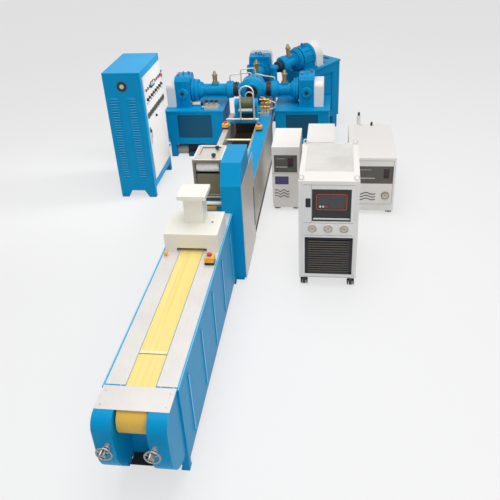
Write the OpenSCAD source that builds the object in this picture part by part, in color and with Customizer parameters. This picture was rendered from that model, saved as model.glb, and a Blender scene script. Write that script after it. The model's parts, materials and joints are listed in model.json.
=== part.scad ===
// Foxing extrusion line: take-off conveyor, roll stand, cooling trough, four extruders on one die head,
// control cabinet and temperature units. Millimetres, +Z up, origin at the bottom centre of the whole line.
// Inside the modules X is 0 on the belt, Y is 0 at the near edge of the conveyor panels; place() shifts it.

/* [Take-off conveyor] */
// Length of the side panels
conveyor_length = 2195; // [1900:5:3000]
// Width over the side panels
conveyor_width = 480; // [460:5:560]
// Height of the table above the floor
table_height = 733; // [690:1:800]
// Gap between the side panels and the floor
panel_clearance = 90; // [60:5:150]
// Sheet of the side panels
panel_sheet = 4; // [2:0.5:6]
// Width of the rim folded in along the top of a side panel
rim_width = 14; // [10:1:24]
// Pressed ribs on each side panel
panel_ribs = 5; // [3:1:8]
// Sheet of the table plates
table_sheet = 4; // [3:0.5:6]
// Width of the belt
belt_width = 186; // [150:2:190]
// Thickness of the belt
belt_sheet = 4; // [2:0.5:5]
// Diameter over the belt at its end rollers
belt_wrap = 200; // [170:5:220]

/* [Conveyor nose] */
// Reach of the rounded cheeks in front of the panels
nose_reach = 282; // [260:2:320]
// Depth of the cheeks below the table
nose_depth = 543; // [500:1:580]
// Radius of the upper front edge of the cheeks
nose_round = 95; // [70:5:120]
// Gap between the two cheeks
nose_gap = 210; // [200:2:230]
// How far the cheeks stand inside the side panels
cheek_inset = 12; // [6:1:20]
// Length of the cover plate over the nose
cover_length = 195; // [150:5:220]
// Diameter of the handwheels
wheel_diameter = 105; // [90:1:130]
// Distance between the two handwheel axes
wheel_spacing = 288; // [270:2:310]
// Depth of the handwheel axes below the table
wheel_drop = 187; // [160:1:230]

/* [Tunnel hood] */
// Distance from the hood to the far end of the conveyor
hood_setback = 247; // [220:1:500]
// Length of the hood along the belt
hood_length = 393; // [300:1:450]
// Width of the hood
hood_width = 440; // [380:1:450]
// Height of the hood
hood_height = 154; // [120:1:200]
// Sheet of the hood
hood_sheet = 4; // [3:0.5:6]
// Width of the belt slot in the hood
slot_width = 248; // [220:2:280]
// Height of the belt slot in the hood
slot_height = 27; // [20:1:40]
// Width and length of the stack on the hood
stack_width = 160; // [120:2:200]
// Height of the stack under its cap
stack_height = 228; // [150:2:300]
// Width of the cap
cap_width = 234; // [210:2:260]
// Thickness of the cap
cap_sheet = 35; // [20:1:50]

/* [Roll stand] */
// Gap between the conveyor and the roll stand
stand_gap = 153; // [120:1:200]
// Length of the roll stand along the line
stand_length = 340; // [300:2:360]
// Width of the roll stand
stand_width = 264; // [240:2:280]
// Height of the roll stand above the floor
stand_height = 1180; // [1100:5:1240]
// Thickness of the side plates
stand_plate = 24; // [18:1:30]
// Diameter of the pull roll
pull_roll = 96; // [80:1:104]
// Width of the drive guard
guard_width = 183; // [150:1:220]
// Depth of the slope at the front of the drive guard
guard_slope = 104; // [60:2:140]
// Height of the vertical front of the drive guard
guard_front = 1000; // [900:5:1060]
// Height of the steel side plate
side_plate_height = 990; // [900:5:1020]

/* [Cooling trough] */
// Length of the trough
trough_length = 2382; // [2200:2:3000]
// Height of the trough
trough_height = 620; // [560:2:680]
// Width of the open channel
channel_width = 318; // [290:2:330]
// Width of the left wall
left_wall = 64; // [50:1:90]
// Width of the right casing
right_casing = 160; // [120:1:180]
// Depth of the channel
channel_depth = 270; // [200:2:320]
// Diameter of the rolls in the channel
channel_roll = 44; // [36:1:56]
// Diameter of the press roll
press_roll = 165; // [140:1:180]
// Height of the press roll axis above the trough
press_height = 226; // [200:1:260]

/* [Extruders] */
// Height of the level extruder axes
axis_height = 840; // [820:1:870]
// Height of the level extruder decks
deck_height = 650; // [630:1:665]
// Length of the legs under the bases
leg_height = 187; // [150:1:220]
// Height of the upper extruder axis
upper_axis = 1046; // [1036:1:1080]
// Height of the upper extruder deck
upper_deck = 890; // [870:1:900]
// Lean of the upper extruder
upper_lean = 6; // [3:0.5:8]
// Barrel length of the left extruder
left_barrel = 540; // [480:2:600]
// Barrel length of the right extruder
right_barrel = 342; // [320:2:420]
// Barrel length of the back extruder
back_barrel = 540; // [480:2:600]
// Barrel length of the upper extruder
upper_barrel = 278; // [250:2:320]
// Outside diameter of the barrels
barrel_diameter = 150; // [120:2:170]
// Diameter of the barrel flanges
flange_diameter = 285; // [250:1:310]
// Length of a gearbox along its barrel
gearbox_length = 195; // [170:1:220]
// Width of a gearbox
gearbox_width = 320; // [300:2:360]
// Height of a gearbox above its axis
gearbox_rise = 203; // [180:1:220]
// Thickness of a pulley guard
pulley_guard = 120; // [90:1:140]
// Width of the level bases
base_width = 600; // [560:5:600]
// Width of the back and upper bases
narrow_base = 400; // [390:5:440]
// Diameter of the die head
head_diameter = 330; // [300:2:350]
// Length of the die head
head_length = 230; // [210:2:260]

/* [Control cabinet] */
// Width of the cabinet across the line
cabinet_width = 428; // [400:2:480]
// Length of the cabinet along the line
cabinet_length = 820; // [780:2:824]
// Height of the cabinet
cabinet_height = 1510; // [1400:5:1600]
// Height of the cabinet legs
cabinet_legs = 110; // [80:2:140]
// Sheet of the cabinet
cabinet_sheet = 3; // [2:0.5:4]
// Width of the frame beside the door at its handle
frame_near = 68; // [50:1:80]
// Width of the frame above the door
frame_top = 76; // [60:1:90]
// Height of the frame under the door
frame_foot = 95; // [70:1:110]
// Louvres in each column of the cabinet wall
louvre_rows = 32; // [20:1:36]
// Length of a louvre
louvre_width = 84; // [60:2:110]
// Gap around the door
door_gap = 5; // [4:0.5:8]
// Thickness of the door
door_sheet = 20; // [16:1:24]

/* [Temperature units] */
// Width of the chiller
chiller_width = 519; // [480:1:560]
// Length of the chiller
chiller_length = 832; // [760:2:900]
// Height of the chiller
chiller_height = 1091; // [1000:1:1150]
// Height of the castors
castor_height = 110; // [90:1:120]
// Slats in the chiller's grille
grille_slats = 16; // [10:1:22]
// Height of the heaters' control panels
heater_panel_h = 205; // [160:1:230]
// Width of the slim heaters
heater_width = 300; // [280:1:330]
// Length of the slim heaters
heater_length = 560; // [500:2:600]
// Height of the slim heaters
heater_height = 777; // [700:1:820]
// Width of the wide heater
wide_width = 495; // [460:1:520]
// Length of the wide heater
wide_length = 1000; // [900:2:1050]
// Height of the wide heater
wide_height = 672; // [620:1:720]

/* [Layout] */
// Distance from the belt to the front of the cabinet
cabinet_reach = 994; // [960:1:1200]
// Distance from the near wall of the cabinet to the far end of the trough
cabinet_setback = 1201; // [1150:1:1400]
// Distance from the belt to the chiller
chiller_reach = 833; // [760:1:900]
// How far the chiller stands in front of the end of the conveyor
chiller_setback = 61; // [0:1:300]
// Distance from the belt to the left heater
heater_reach = 455; // [420:1:480]
// Distance from the heaters to the far end of the trough
heater_setback = 1495; // [1450:1:1700]
// How far the middle heater stands behind the left one
middle_setback = 142; // [0:1:200]
// Distance from the belt to the middle heater
middle_reach = 826; // [800:1:860]
// Distance from the belt to the wide heater
wide_reach = 1290; // [1180:1:1400]
// Distance from the die head to the trough
head_setback = 305; // [300:1:360]
// Distance from the press roll to the far end of the trough
press_setback = 295; // [280:1:400]

/* [Hidden] */
$fn = 96;
eps = 0.3;
fit = 0.05;

bed_top = table_height - table_sheet;
belt_top = bed_top + eps + belt_sheet;
slot_half = belt_width / 2 + 4;
rim_in = conveyor_width / 2 - rim_width;
panel_in = conveyor_width / 2 - panel_sheet;
hood_start = conveyor_length - hood_setback - hood_length;
cross_strip = 8;
anchor_inset = 30;
anchor_radius = 7;
strip_end = 24;
roller_z = belt_top - belt_wrap / 2;
roller_near = -130;
roller_far = conveyor_length - belt_wrap / 2 - 10;
roller_radius = belt_wrap / 2 - belt_sheet - eps;
nose_top = table_height + 4;
cheek_out = conveyor_width / 2 - cheek_inset;
nose_low = table_height - nose_depth;
nose_curve = nose_reach - 17;
wheel_z = table_height - wheel_drop;
boss_end = nose_reach + 32;
wheel_plane = nose_reach + 68;
knob_end = wheel_plane + 52;
rim_tube = 6;
rim_radius = wheel_diameter / 2 - rim_tube;

stand_y = conveyor_length + stand_gap;
stand_end = stand_y + stand_length;
stand_x = -120;
stand_right = stand_x + stand_width;
guard_y = conveyor_length;
guard_right = stand_right + guard_width;
stand_foot = 700;
roll_y = stand_y + 62;
pull_z = stand_height - 83;

trough_y = stand_y + 365;
trough_end = trough_y + trough_length;
channel_left = -166;
channel_right = channel_left + channel_width;
wall_out = channel_left - left_wall;
casing_out = channel_right + right_casing;
channel_floor = trough_height - channel_depth;
press_y = trough_end - press_setback;
press_z = trough_height + press_height;
side_plate_reach = 269;
spray_setback = 145;
spray_height = 80;
arch_rise = 330;
arch_bend = 84;
yoke_plate = 54;
yoke_in = press_roll / 2 + 4;
yoke_round = 66;
roll_shaft = 18;
yoke_x = (channel_left + channel_right) / 2 + 36;

head_x = 38;
head_y = trough_end + head_setback;
hub_start = 250;
upper_start = 494;
ring_start = 185;
flange_neck = 28;
lip = 12;
deck_sheet = 20;
leg_width = 80;
panel_sink = 12;
elbow_lead = 50;
gearbox_sole = 24;
plug_span = 57.5;
round_casing = min(160, upper_axis - upper_deck - 2);
round_cover = (upper_axis + gearbox_width / 2 - upper_deck) / 2 - 1;
cover_rise = 130;
cover_round = 70;
upper_inset = 240;
flow_pipe = 36;
ring_length = 65;
die_ring = 78;
base_inset = 376;

function gearbox_start(start, barrel) = start + barrel + flange_neck;

// Length of the stepped neck at the rear of a barrel, and the middle of its plain part
function neck(barrel) = min(140, 0.26 * barrel);
function port_place(start, barrel) = start + (95 + barrel - neck(barrel)) / 2;
function drive_end(start, barrel) = gearbox_start(start, barrel) + gearbox_length + pulley_guard;

left_end = drive_end(hub_start, left_barrel) + 8;
right_end = drive_end(hub_start, right_barrel) + 76;
back_end = drive_end(hub_start, back_barrel) + 8;
upper_end = drive_end(upper_start, upper_barrel) + 288;

cabinet_x = -cabinet_reach;
cabinet_back = cabinet_x - cabinet_width;
cabinet_y = trough_end - cabinet_setback;
cabinet_far = cabinet_y + cabinet_length;
door_y0 = cabinet_y + frame_near + door_gap;
door_y1 = cabinet_far - 13 - door_gap;
door_z0 = cabinet_legs + frame_foot + door_gap;
door_z1 = cabinet_height - frame_top - door_gap;
door_face = cabinet_x + 8;
hinge_x = door_face + 8;
hinge_y = door_y1 + door_gap / 2;
hinge_r = 8;
louvre_proud = 12;
louvre_rise = 18;
louvre_low = 275;
louvre_head = 290;
skirt_sheet = 50;
hinge_pin = 4;
hinge_zs = [door_z0 + 160, door_z1 - 160];

chiller_x = chiller_reach;
chiller_y = conveyor_length - chiller_setback;
heater_y = trough_end - heater_setback;
middle_y = heater_y + middle_setback;
chiller_panel_x = chiller_x + 117;
chiller_panel_w = chiller_width - 184;
chiller_panel_z = chiller_height - 387;
chiller_panel_h = 312;
chiller_grille_x = chiller_x + 53;
chiller_grille_w = chiller_width - 93;
chiller_grille_z = castor_height + 40;
chiller_grille_h = 390;
grille_sink = 36;
slot_sink = 8;
gauge_z = chiller_height - 455;
gauge_pitch = 139;
gauge_radius = 44;
heater_frame = 24;
heater_panel_top = 92;
left_heater_x = heater_reach;
middle_heater_x = middle_reach;
wide_x = wide_reach;
wide_y = heater_y - 40;

x_low = cabinet_back;
x_high = wide_x + wide_width;
y_low = -knob_end;
upper_corner = (upper_end + narrow_base / 2 + 2 * lip) * sin(45);
y_high = head_y + max(back_end + lip, upper_corner);
mid_x = (x_low + x_high) / 2;
mid_y = (y_low + y_high) / 2;

blue = [0.09, 0.45, 0.72];
steel = [0.75, 0.73, 0.70];
white = [0.94, 0.94, 0.92];
black = [0.10, 0.10, 0.11];
cream = [0.93, 0.91, 0.87];
yellow = [0.95, 0.78, 0.15];

// Moves the line frame to the origin of the row
module place() {
  translate([-mid_x, -mid_y, 0]) children();
}

// A box between two corners
module slab(low, high) {
  translate(low) cube(high - low);
}

// A profile in Y and Z, carried along X
module profile_x(x0, x1) {
  translate([x0, 0, 0]) rotate([90, 0, 90]) linear_extrude(x1 - x0) children();
}

// A round bar along X
module bar_x(x0, x1, y, z, radius) {
  translate([x0, y, z]) rotate([0, 90, 0]) cylinder(r = radius, h = x1 - x0);
}

// A round bar along Y
module bar_y(y0, y1, x, z, radius) {
  translate([x, y0, z]) rotate([-90, 0, 0]) cylinder(r = radius, h = y1 - y0);
}

// Both sides of the belt
module both_sides() {
  children();
  mirror([1, 0, 0]) children();
}

// Take-off conveyor

module conveyor_panel() {
  rib_step = conveyor_length / panel_ribs;
  slab([panel_in, 0, panel_clearance], [conveyor_width / 2, conveyor_length, table_height]);
  slab([rim_in, 0, bed_top], [conveyor_width / 2, conveyor_length, table_height]);
  for (i = [0 : panel_ribs - 1]) {
    intersection() {
      translate([conveyor_width / 2 - 13, (i + 0.5) * rib_step, panel_clearance + 60])
        cylinder(r = 20, h = table_height - panel_clearance - 130);
      slab([panel_in, 0, 0], [conveyor_width, conveyor_length, table_height]);
    }
  }
}

module conveyor_panel_left() {
  color(blue) mirror([1, 0, 0]) conveyor_panel();
}

module conveyor_panel_right() {
  color(blue) conveyor_panel();
}

module conveyor_leg() {
  slab([panel_in - 6, 0, 0], [panel_in, 50, bed_top]);
  slab([panel_in - 50, 0, 0], [panel_in, 6, bed_top]);
  difference() {
    slab([panel_in - 58, 0, 0], [panel_in, 60, 10]);
    translate([panel_in - anchor_inset, anchor_inset + 4, -1]) cylinder(r = anchor_radius, h = 12);
  }
}

module conveyor_legs() {
  color(blue) both_sides() {
    conveyor_leg();
    translate([0, conveyor_length, 0]) mirror([0, 1, 0]) conveyor_leg();
  }
}

module conveyor_table() {
  color(cream) both_sides()
    slab([slot_half, strip_end, bed_top], [rim_in, conveyor_length, table_height]);
}

module belt_bed() {
  bed_end = roller_far - 78;
  color(blue) {
    slab([-slot_half - 30, 0, bed_top - 20], [slot_half + 30, bed_end, bed_top]);
    slab([2 - nose_gap / 2, roller_near + 78, bed_top - 20], [nose_gap / 2 - 2, 1, bed_top]);
    for (i = [0 : 3]) {
      beam_y = 80 + i * (bed_end - 160) / 3;
      slab([-panel_in, beam_y, bed_top - 60], [panel_in, beam_y + 40, bed_top - 20]);
    }
    both_sides() slab([slot_half, cross_strip, bed_top - 20], [rim_in, strip_end, table_height]);
  }
}

module belt_loop(radius) {
  translate([roller_near, roller_z]) circle(r = radius);
  translate([roller_far, roller_z]) circle(r = radius);
  translate([roller_near, roller_z - radius]) square([roller_far - roller_near, 2 * radius]);
}

module belt() {
  color(yellow) profile_x(-belt_width / 2, belt_width / 2) difference() {
    belt_loop(belt_wrap / 2);
    belt_loop(belt_wrap / 2 - belt_sheet);
  }
}

module belt_rollers() {
  color(steel) {
    bar_x(-belt_width / 2 - 2, belt_width / 2 + 2, roller_near, roller_z, roller_radius);
    bar_x(-nose_gap / 2, nose_gap / 2, roller_near, roller_z, 20);
    bar_x(-belt_width / 2 - 2, belt_width / 2 + 2, roller_far, roller_z, roller_radius);
    bar_x(-panel_in, panel_in, roller_far, roller_z, 20);
  }
}

module cheek_profile() {
  front = -nose_reach;
  curve_z = nose_low + nose_curve;
  round_z = nose_top - nose_round;
  translate([front + nose_round, round_z]) circle(r = nose_round);
  translate([front + nose_round, round_z]) square([nose_reach - nose_round, nose_round]);
  translate([front, curve_z]) square([nose_reach, round_z - curve_z]);
  intersection() {
    translate([front + nose_curve, curve_z]) circle(r = nose_curve);
    translate([front, nose_low]) square([nose_curve, nose_curve]);
  }
  translate([front + nose_curve, nose_low]) square([nose_reach - nose_curve, nose_curve]);
}

module nose_cheeks() {
  color(blue) both_sides() difference() {
    union() {
      profile_x(nose_gap / 2, cheek_out) cheek_profile();
      bar_y(-boss_end, -nose_reach + 20, wheel_spacing / 2, wheel_z, 19);
    }
    bar_y(-boss_end - 1, -nose_reach + 10, wheel_spacing / 2, wheel_z, 10 + fit);
  }
}

module nose_apron() {
  apron_top = roller_z - belt_wrap / 2 - 30;
  color(blue) slab([-nose_gap / 2, -34, nose_low], [nose_gap / 2, -28, apron_top]);
}

module nose_cover() {
  color(cream)
    slab([-cheek_out, cross_strip - cover_length, nose_top], [cheek_out, cross_strip - 2, nose_top + 3]);
}

module handwheel(side) {
  translate([side * wheel_spacing / 2, 0, wheel_z]) {
    bar_y(-wheel_plane - 14, -nose_reach + 6, 0, 0, 10);
    bar_y(-wheel_plane - 14, -boss_end - 5, 0, 0, 16);
    translate([0, -wheel_plane, 0]) rotate([90, 0, 0]) rotate_extrude()
      translate([rim_radius, 0]) circle(r = rim_tube);
    for (i = [0 : 2])
      rotate([0, 90 + 120 * i, 0]) translate([0, -wheel_plane, 0]) rotate([0, 90, 0])
        cylinder(r = 5, h = rim_radius);
    bar_y(-knob_end, -wheel_plane, 0, rim_radius, 8);
  }
}

module handwheel_left() {
  color(steel) handwheel(-1);
}

module handwheel_right() {
  color(steel) handwheel(1);
}

// Tunnel hood

module tunnel_hood() {
  half = hood_width / 2;
  hood_top = table_height + hood_height;
  hood_end = hood_start + hood_length;
  color(cream) difference() {
    slab([-half, hood_start, table_height], [half, hood_end, hood_top]);
    slab([-half + hood_sheet, hood_start + hood_sheet, table_height - 1],
         [half - hood_sheet, hood_end - hood_sheet, hood_top - hood_sheet]);
    slab([-slot_width / 2, hood_start - 1, table_height - 1],
         [slot_width / 2, hood_end + 1, table_height + slot_height]);
  }
}

module hood_stack() {
  stack_z = table_height + hood_height;
  stack_y = hood_start + hood_length - stack_width - 48;
  over = (cap_width - stack_width) / 2;
  color(cream) {
    translate([-stack_width / 2, stack_y, stack_z]) cube([stack_width, stack_width, stack_height]);
    translate([-cap_width / 2, stack_y - over, stack_z + stack_height])
      cube([cap_width, cap_width, cap_sheet]);
  }
}

// Stop boxes

stop_places = [
  [181, hood_start - 165, table_height],
  [channel_right + 63, trough_end - 600, trough_height],
  [channel_left - left_wall / 2 - 7, trough_end - 533, trough_height]
];

module stop_box_bases() {
  color(black) for (p = stop_places)
    translate(p + [-38, -38, 0]) cube([76, 76, 12]);
}

module stop_boxes() {
  color(yellow) for (p = stop_places)
    translate(p + [-37, -37, 12]) cube([74, 74, 48]);
}

module stop_buttons() {
  color([0.8, 0.1, 0.08]) for (p = stop_places) translate(p + [0, 0, 60]) {
    cylinder(r = 12, h = 14);
    translate([0, 0, 12]) cylinder(r1 = 22, r2 = 18, h = 14);
  }
}

// Roll stand

module stand_base() {
  color(blue) slab([stand_x, stand_y - 40, 0], [stand_right, trough_y, stand_foot]);
}

module roll_stand() {
  inner_left = stand_x + stand_plate;
  inner_right = stand_right - stand_plate;
  color(steel) difference() {
    union() {
      slab([stand_x, stand_y, stand_foot], [inner_left, stand_end, stand_height]);
      slab([inner_right, stand_y, stand_foot], [stand_right, stand_end, stand_height]);
      slab([stand_x, stand_y, stand_height - 26], [stand_right, stand_end, stand_height]);
      slab([stand_x, stand_y + 20, stand_foot + 140], [stand_right, stand_y + 32, pull_z - 58]);
    }
    bar_x(stand_x - 1, stand_right + 1, roll_y, pull_z, 15 + fit);
    slab([inner_left + 20, stand_y + 110, stand_height - 10],
         [inner_right - 20, stand_end - 40, stand_height + 1]);
  }
}

module pull_roll() {
  color(white) {
    bar_x(stand_x + stand_plate + 5, stand_right - stand_plate - 5, roll_y, pull_z, pull_roll / 2);
    bar_x(stand_x + 4, stand_right - 4, roll_y, pull_z, 15);
  }
}

module guide_rolls() {
  color(steel) {
    bar_x(stand_x + stand_plate, stand_right - stand_plate, roll_y, stand_foot + 85, channel_roll / 2);
    for (i = [0 : 3]) {
      roll_at = trough_y + 250 + i * (trough_length - 950) / 3;
      bar_x(channel_left, channel_right, roll_at, trough_height - 90, channel_roll / 2);
    }
  }
}

module drive_guard() {
  top_z = stand_height;
  color(blue) profile_x(stand_right, guard_right) polygon([
    [guard_y, 40], [guard_y, guard_front], [guard_y + guard_slope, top_z],
    [trough_y, top_z], [trough_y, 40]
  ]);
  color(blue) slab([stand_right + 20, guard_y + 20, 0], [guard_right - 20, trough_y - 20, 40]);
}

module stand_side_plate() {
  color(steel)
    slab([guard_right, guard_y + 12, 20],
         [guard_right + 4, trough_y + side_plate_reach - 2, side_plate_height]);
}

// Cooling trough

module trough_left_wall() {
  color(steel) slab([wall_out, trough_y, 60], [channel_left, trough_end, trough_height]);
}

module trough_right_casing() {
  color(blue) slab([channel_right, trough_y, 60], [casing_out, trough_end, trough_height]);
}

module trough_floor() {
  color(black) {
    slab([channel_left, trough_y, channel_floor - 20], [channel_right, trough_end, channel_floor]);
    slab([channel_left, trough_end - 8, channel_floor], [channel_right, trough_end, trough_height]);
    for (y = [trough_y + 60, trough_end - 140])
      slab([wall_out + 10, y, 0], [casing_out - 10, y + 80, 60]);
  }
}

module trough_trim() {
  color(steel) {
    slab([casing_out, trough_y + side_plate_reach, 70], [casing_out + 4, trough_end, trough_height - 6]);
    slab([channel_right, trough_y, trough_height], [channel_right + 20, press_y - 72, trough_height + 4]);
  }
}

// An upright pipe bent over in a half circle, standing on a deck
module pipe_arch(x, y, deck, rise, bend, radius) {
  for (side = [-1, 1]) {
    translate([x + side * bend, y, deck]) cylinder(r = radius, h = rise);
    translate([x + side * bend, y, deck]) cylinder(r = radius + 6, h = 22);
  }
  translate([x, y, deck + rise]) rotate([90, 0, 0]) rotate_extrude(angle = 180)
    translate([bend, 0]) circle(r = radius);
}

module spray_bar() {
  bar_at = press_y - spray_setback;
  bar_z = trough_height + spray_height;
  color(steel) {
    bar_x(channel_left - 40, channel_right + 45, bar_at, bar_z, 13);
    for (x = [channel_left - 28, channel_right + 33])
      translate([x, bar_at, trough_height]) cylinder(r = 10, h = spray_height);
    pipe_arch(yoke_x + 30, bar_at, bar_z, arch_rise, arch_bend, 9);
  }
}

// One bearing plate of the press roll: a foot, a straight neck and a round top
module yoke_profile() {
  translate([press_y - 70, trough_height]) square([140, 34]);
  translate([press_y - yoke_round + 12, trough_height]) square([2 * yoke_round - 24, press_height]);
  translate([press_y, press_z]) circle(r = yoke_round);
}

module press_yoke() {
  half = yoke_in + yoke_plate;
  color(blue) difference() {
    union() {
      slab([channel_left - 30, press_y - 70, trough_height],
           [channel_right + 30, press_y + 70, trough_height + 16]);
      profile_x(yoke_x - half, yoke_x - yoke_in) yoke_profile();
      profile_x(yoke_x + yoke_in, yoke_x + half) yoke_profile();
    }
    bar_x(yoke_x - half - 1, yoke_x + half + 1, press_y, press_z, roll_shaft + fit);
  }
}

module press_roll() {
  reach = yoke_in - 5;
  color([0.45, 0.44, 0.20]) {
    bar_x(yoke_x - reach, yoke_x + reach, press_y, press_z, press_roll / 2);
    bar_x(yoke_x - reach - yoke_plate, yoke_x + reach + yoke_plate, press_y, press_z, roll_shaft);
  }
}

// Extruders

// Turns a piece drawn along +X from the die head to the heading of its extruder
module heading(angle) {
  translate([head_x, head_y, 0]) rotate([0, 0, angle]) children();
}

module base_legs(start, end, width) {
  for (x = [start + 20, end - 20 - leg_width], y = [10 - width / 2, width / 2 - 10 - leg_width])
    slab([x, y, 0], [x + leg_width, y + leg_width, leg_height]);
}

// Sunk access panels on both long sides of a base
module side_panels(start, end, width, top_z) {
  inset = (end - start) * 0.2;
  for (side = [-1, 1])
    translate([0, side * (width / 2 - panel_sink / 2), 0])
      slab([start + inset, -panel_sink, leg_height + 90], [end - inset, panel_sink, top_z - 57]);
}

module extruder_base(start, end, width, deck, front_lip = lip) {
  color(blue) difference() {
    union() {
      slab([start, -width / 2, leg_height], [end, width / 2, deck - deck_sheet]);
      slab([start - front_lip, -width / 2 - lip, deck - deck_sheet], [end + lip, width / 2 + lip, deck]);
      base_legs(start, end, width);
    }
    side_panels(start, end, width, deck);
  }
}

// Turns a level extruder up about the front of its barrel
module leaning() {
  translate([upper_start, 0, upper_axis]) rotate([0, -upper_lean, 0])
    translate([-upper_start, 0, -upper_axis]) children();
}

// Height of the underside of the leaning deck
function under_deck(x) = upper_axis + (x - upper_start) * tan(upper_lean)
  + (upper_deck - deck_sheet - upper_axis) / cos(upper_lean);

module leaning_base(start, end, width) {
  color(blue) {
    difference() {
      translate([0, width / 2, 0]) rotate([90, 0, 0]) linear_extrude(width) polygon([
        [start, leg_height], [end, leg_height], [end, under_deck(end)], [start, under_deck(start)]
      ]);
      side_panels(start, end, width, under_deck(start));
    }
    leaning() slab([start - lip, -width / 2 - lip, upper_deck - deck_sheet],
                   [end - lip / 2, width / 2 + lip, upper_deck]);
    base_legs(start, end, width);
  }
}

// Lifting lug and two plug seats on top of a gearbox
module gearbox_top(start, top_z, plug_y) {
  translate([start + gearbox_length / 2 + 6, 0, top_z - 6]) rotate([90, 0, -90]) linear_extrude(12)
    difference() {
      polygon([[-40, 0], [40, 0], [16, 50], [-16, 50]]);
      translate([0, 30]) circle(r = 10);
    }
  for (side = [-1, 1])
    translate([start + gearbox_length / 2 + side * plug_span, side * plug_y, top_z - 8])
      cylinder(r = 17, h = 20);
}

// Bearing caps on both sides of a gearbox
module bearing_caps(start, axis, inner, outer) {
  for (side = [-1, 1])
    translate([start + gearbox_length / 2, side * inner, axis]) rotate([side * -90, 0, 0])
      cylinder(r1 = 74, r2 = 64, h = outer - inner);
}

// Flanged foot under a gearbox
module gearbox_foot(start, deck) {
  half = gearbox_width / 2 + 18;
  slab([start, -half, deck], [start + gearbox_length, half, deck + gearbox_sole]);
}

// Ribbed box with sloped shoulders, on the left and right extruders
module gearbox(start, axis, deck) {
  half = gearbox_width / 2;
  top_z = axis + gearbox_rise;
  shoulder = 45;
  color(blue) {
    translate([start, 0, 0]) rotate([90, 0, 90]) linear_extrude(gearbox_length) polygon([
      [-half, deck], [half, deck], [half, top_z - shoulder], [half - shoulder, top_z],
      [shoulder - half, top_z], [-half, top_z - shoulder]
    ]);
    gearbox_foot(start, deck);
    for (i = [1 : 3], side = [-1, 1])
      translate([start + i * gearbox_length / 4 - 6, side * (half + 4) - 6, deck + gearbox_sole])
        cube([12, 12, gearbox_rise + axis - deck - 90]);
    gearbox_top(start, top_z, 60);
    bearing_caps(start, axis, half, half + 26);
  }
}

// Tapered tower with a cap, on the back extruder
module gearbox_tower(start, axis, deck) {
  low = gearbox_width / 2 + 6;
  high = gearbox_width / 2 - 26;
  top_z = axis + gearbox_rise;
  color(blue) {
    translate([start, 0, 0]) rotate([90, 0, 90]) linear_extrude(gearbox_length)
      polygon([[-low, deck], [low, deck], [high, top_z - 30], [-high, top_z - 30]]);
    slab([start - 8, -high - 8, top_z - 30], [start + gearbox_length, high + 8, top_z]);
    for (x = [start, start + gearbox_length - 14])
      translate([x, 0, 0]) rotate([90, 0, 90]) linear_extrude(14)
        polygon([[-low - 12, deck], [low + 12, deck], [high + 8, top_z - 30], [-high - 8, top_z - 30]]);
    gearbox_foot(start, deck);
    gearbox_top(start, top_z, 60);
    bearing_caps(start, axis, high, gearbox_width / 2 + 26);
  }
}

// Round casing with two rims on a block, on the upper extruder
module gearbox_round(start, axis, deck) {
  casing = round_casing;
  color(blue) {
    bar_x(start, start + gearbox_length, 0, axis, casing - 14);
    bar_x(start, start + 30, 0, axis, casing);
    bar_x(start + gearbox_length - 30, start + gearbox_length, 0, axis, casing);
    for (i = [0 : 11])
      translate([start, 0, axis]) rotate([30 * i + 15, 0, 0])
        slab([10, -6, casing - 30], [gearbox_length - 10, 6, casing - 2]);
    slab([start, -120, deck], [start + gearbox_length, 120, axis]);
    gearbox_foot(start, deck);
    gearbox_top(start, axis + casing - 14, 0);
  }
}

module barrel(start, length, axis) {
  bore = barrel_diameter / 2;
  flange = flange_diameter / 2;
  step = neck(length);
  color(blue) {
    translate([start, 0, axis]) rotate([0, 90, 0]) rotate_extrude() polygon([
      [0, 0], [bore + 22, 0], [bore + 35, 12], [bore + 35, 80], [bore + 20, 95], [bore, 95],
      [bore, length - step], [flange - 40, length - 0.8 * step], [flange - 40, length - 0.5 * step],
      [flange - 6, length - 0.5 * step], [flange - 6, length - 0.25 * step],
      [flange - 18, length - 0.25 * step], [flange - 18, length - 14], [flange, length - 14],
      [flange, length + 14], [flange - 25, length + 14], [flange - 25, length + flange_neck],
      [0, length + flange_neck]
    ]);
    translate([port_place(start, length) - 45, -45, axis])
      cube([90, 90, bore + 16]);
  }
}

module feed_port(start, length, axis) {
  foot = axis + barrel_diameter / 2 + 16;
  translate([port_place(start, length), 0, foot]) {
    cylinder(r = 42, h = 12);
    cylinder(r = 30, h = 95);
    translate([0, 0, 95]) cylinder(r = 38, h = 14);
    translate([0, 0, 109]) cylinder(r1 = 26, r2 = 14, h = 45);
  }
}

// Cover of a drive pulley: a box with two rounded upper corners
module pulley_cover(start, axis, deck, rise, round_r) {
  half = gearbox_width / 2;
  top_z = axis + rise;
  translate([start, 0, 0]) rotate([90, 0, 90]) linear_extrude(pulley_guard) {
    translate([-half, deck]) square([2 * half, top_z - deck - round_r]);
    if (round_r < half)
      translate([-half + round_r, deck]) square([2 * (half - round_r), top_z - deck]);
    for (side = [-1, 1])
      translate([side * (half - round_r), top_z - round_r]) circle(r = round_r);
  }
}

module left_base() {
  heading(180) extruder_base(base_inset, left_end, base_width, deck_height);
}

module right_base() {
  heading(0) extruder_base(base_inset - 57, right_end, base_width, deck_height);
}

module back_base() {
  heading(90) extruder_base(trough_end - head_y, back_end, narrow_base, deck_height, 0);
}

module upper_base() {
  heading(45) leaning_base(upper_start + upper_inset, upper_end, narrow_base);
}

module left_gearbox() {
  heading(180) gearbox(gearbox_start(hub_start, left_barrel), axis_height, deck_height);
}

module right_gearbox() {
  heading(0) gearbox(gearbox_start(hub_start, right_barrel), axis_height, deck_height);
}

module back_gearbox() {
  heading(90) gearbox_tower(gearbox_start(hub_start, back_barrel), axis_height, deck_height);
}

module upper_gearbox() {
  heading(45) leaning() gearbox_round(gearbox_start(upper_start, upper_barrel), upper_axis, upper_deck);
}

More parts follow.
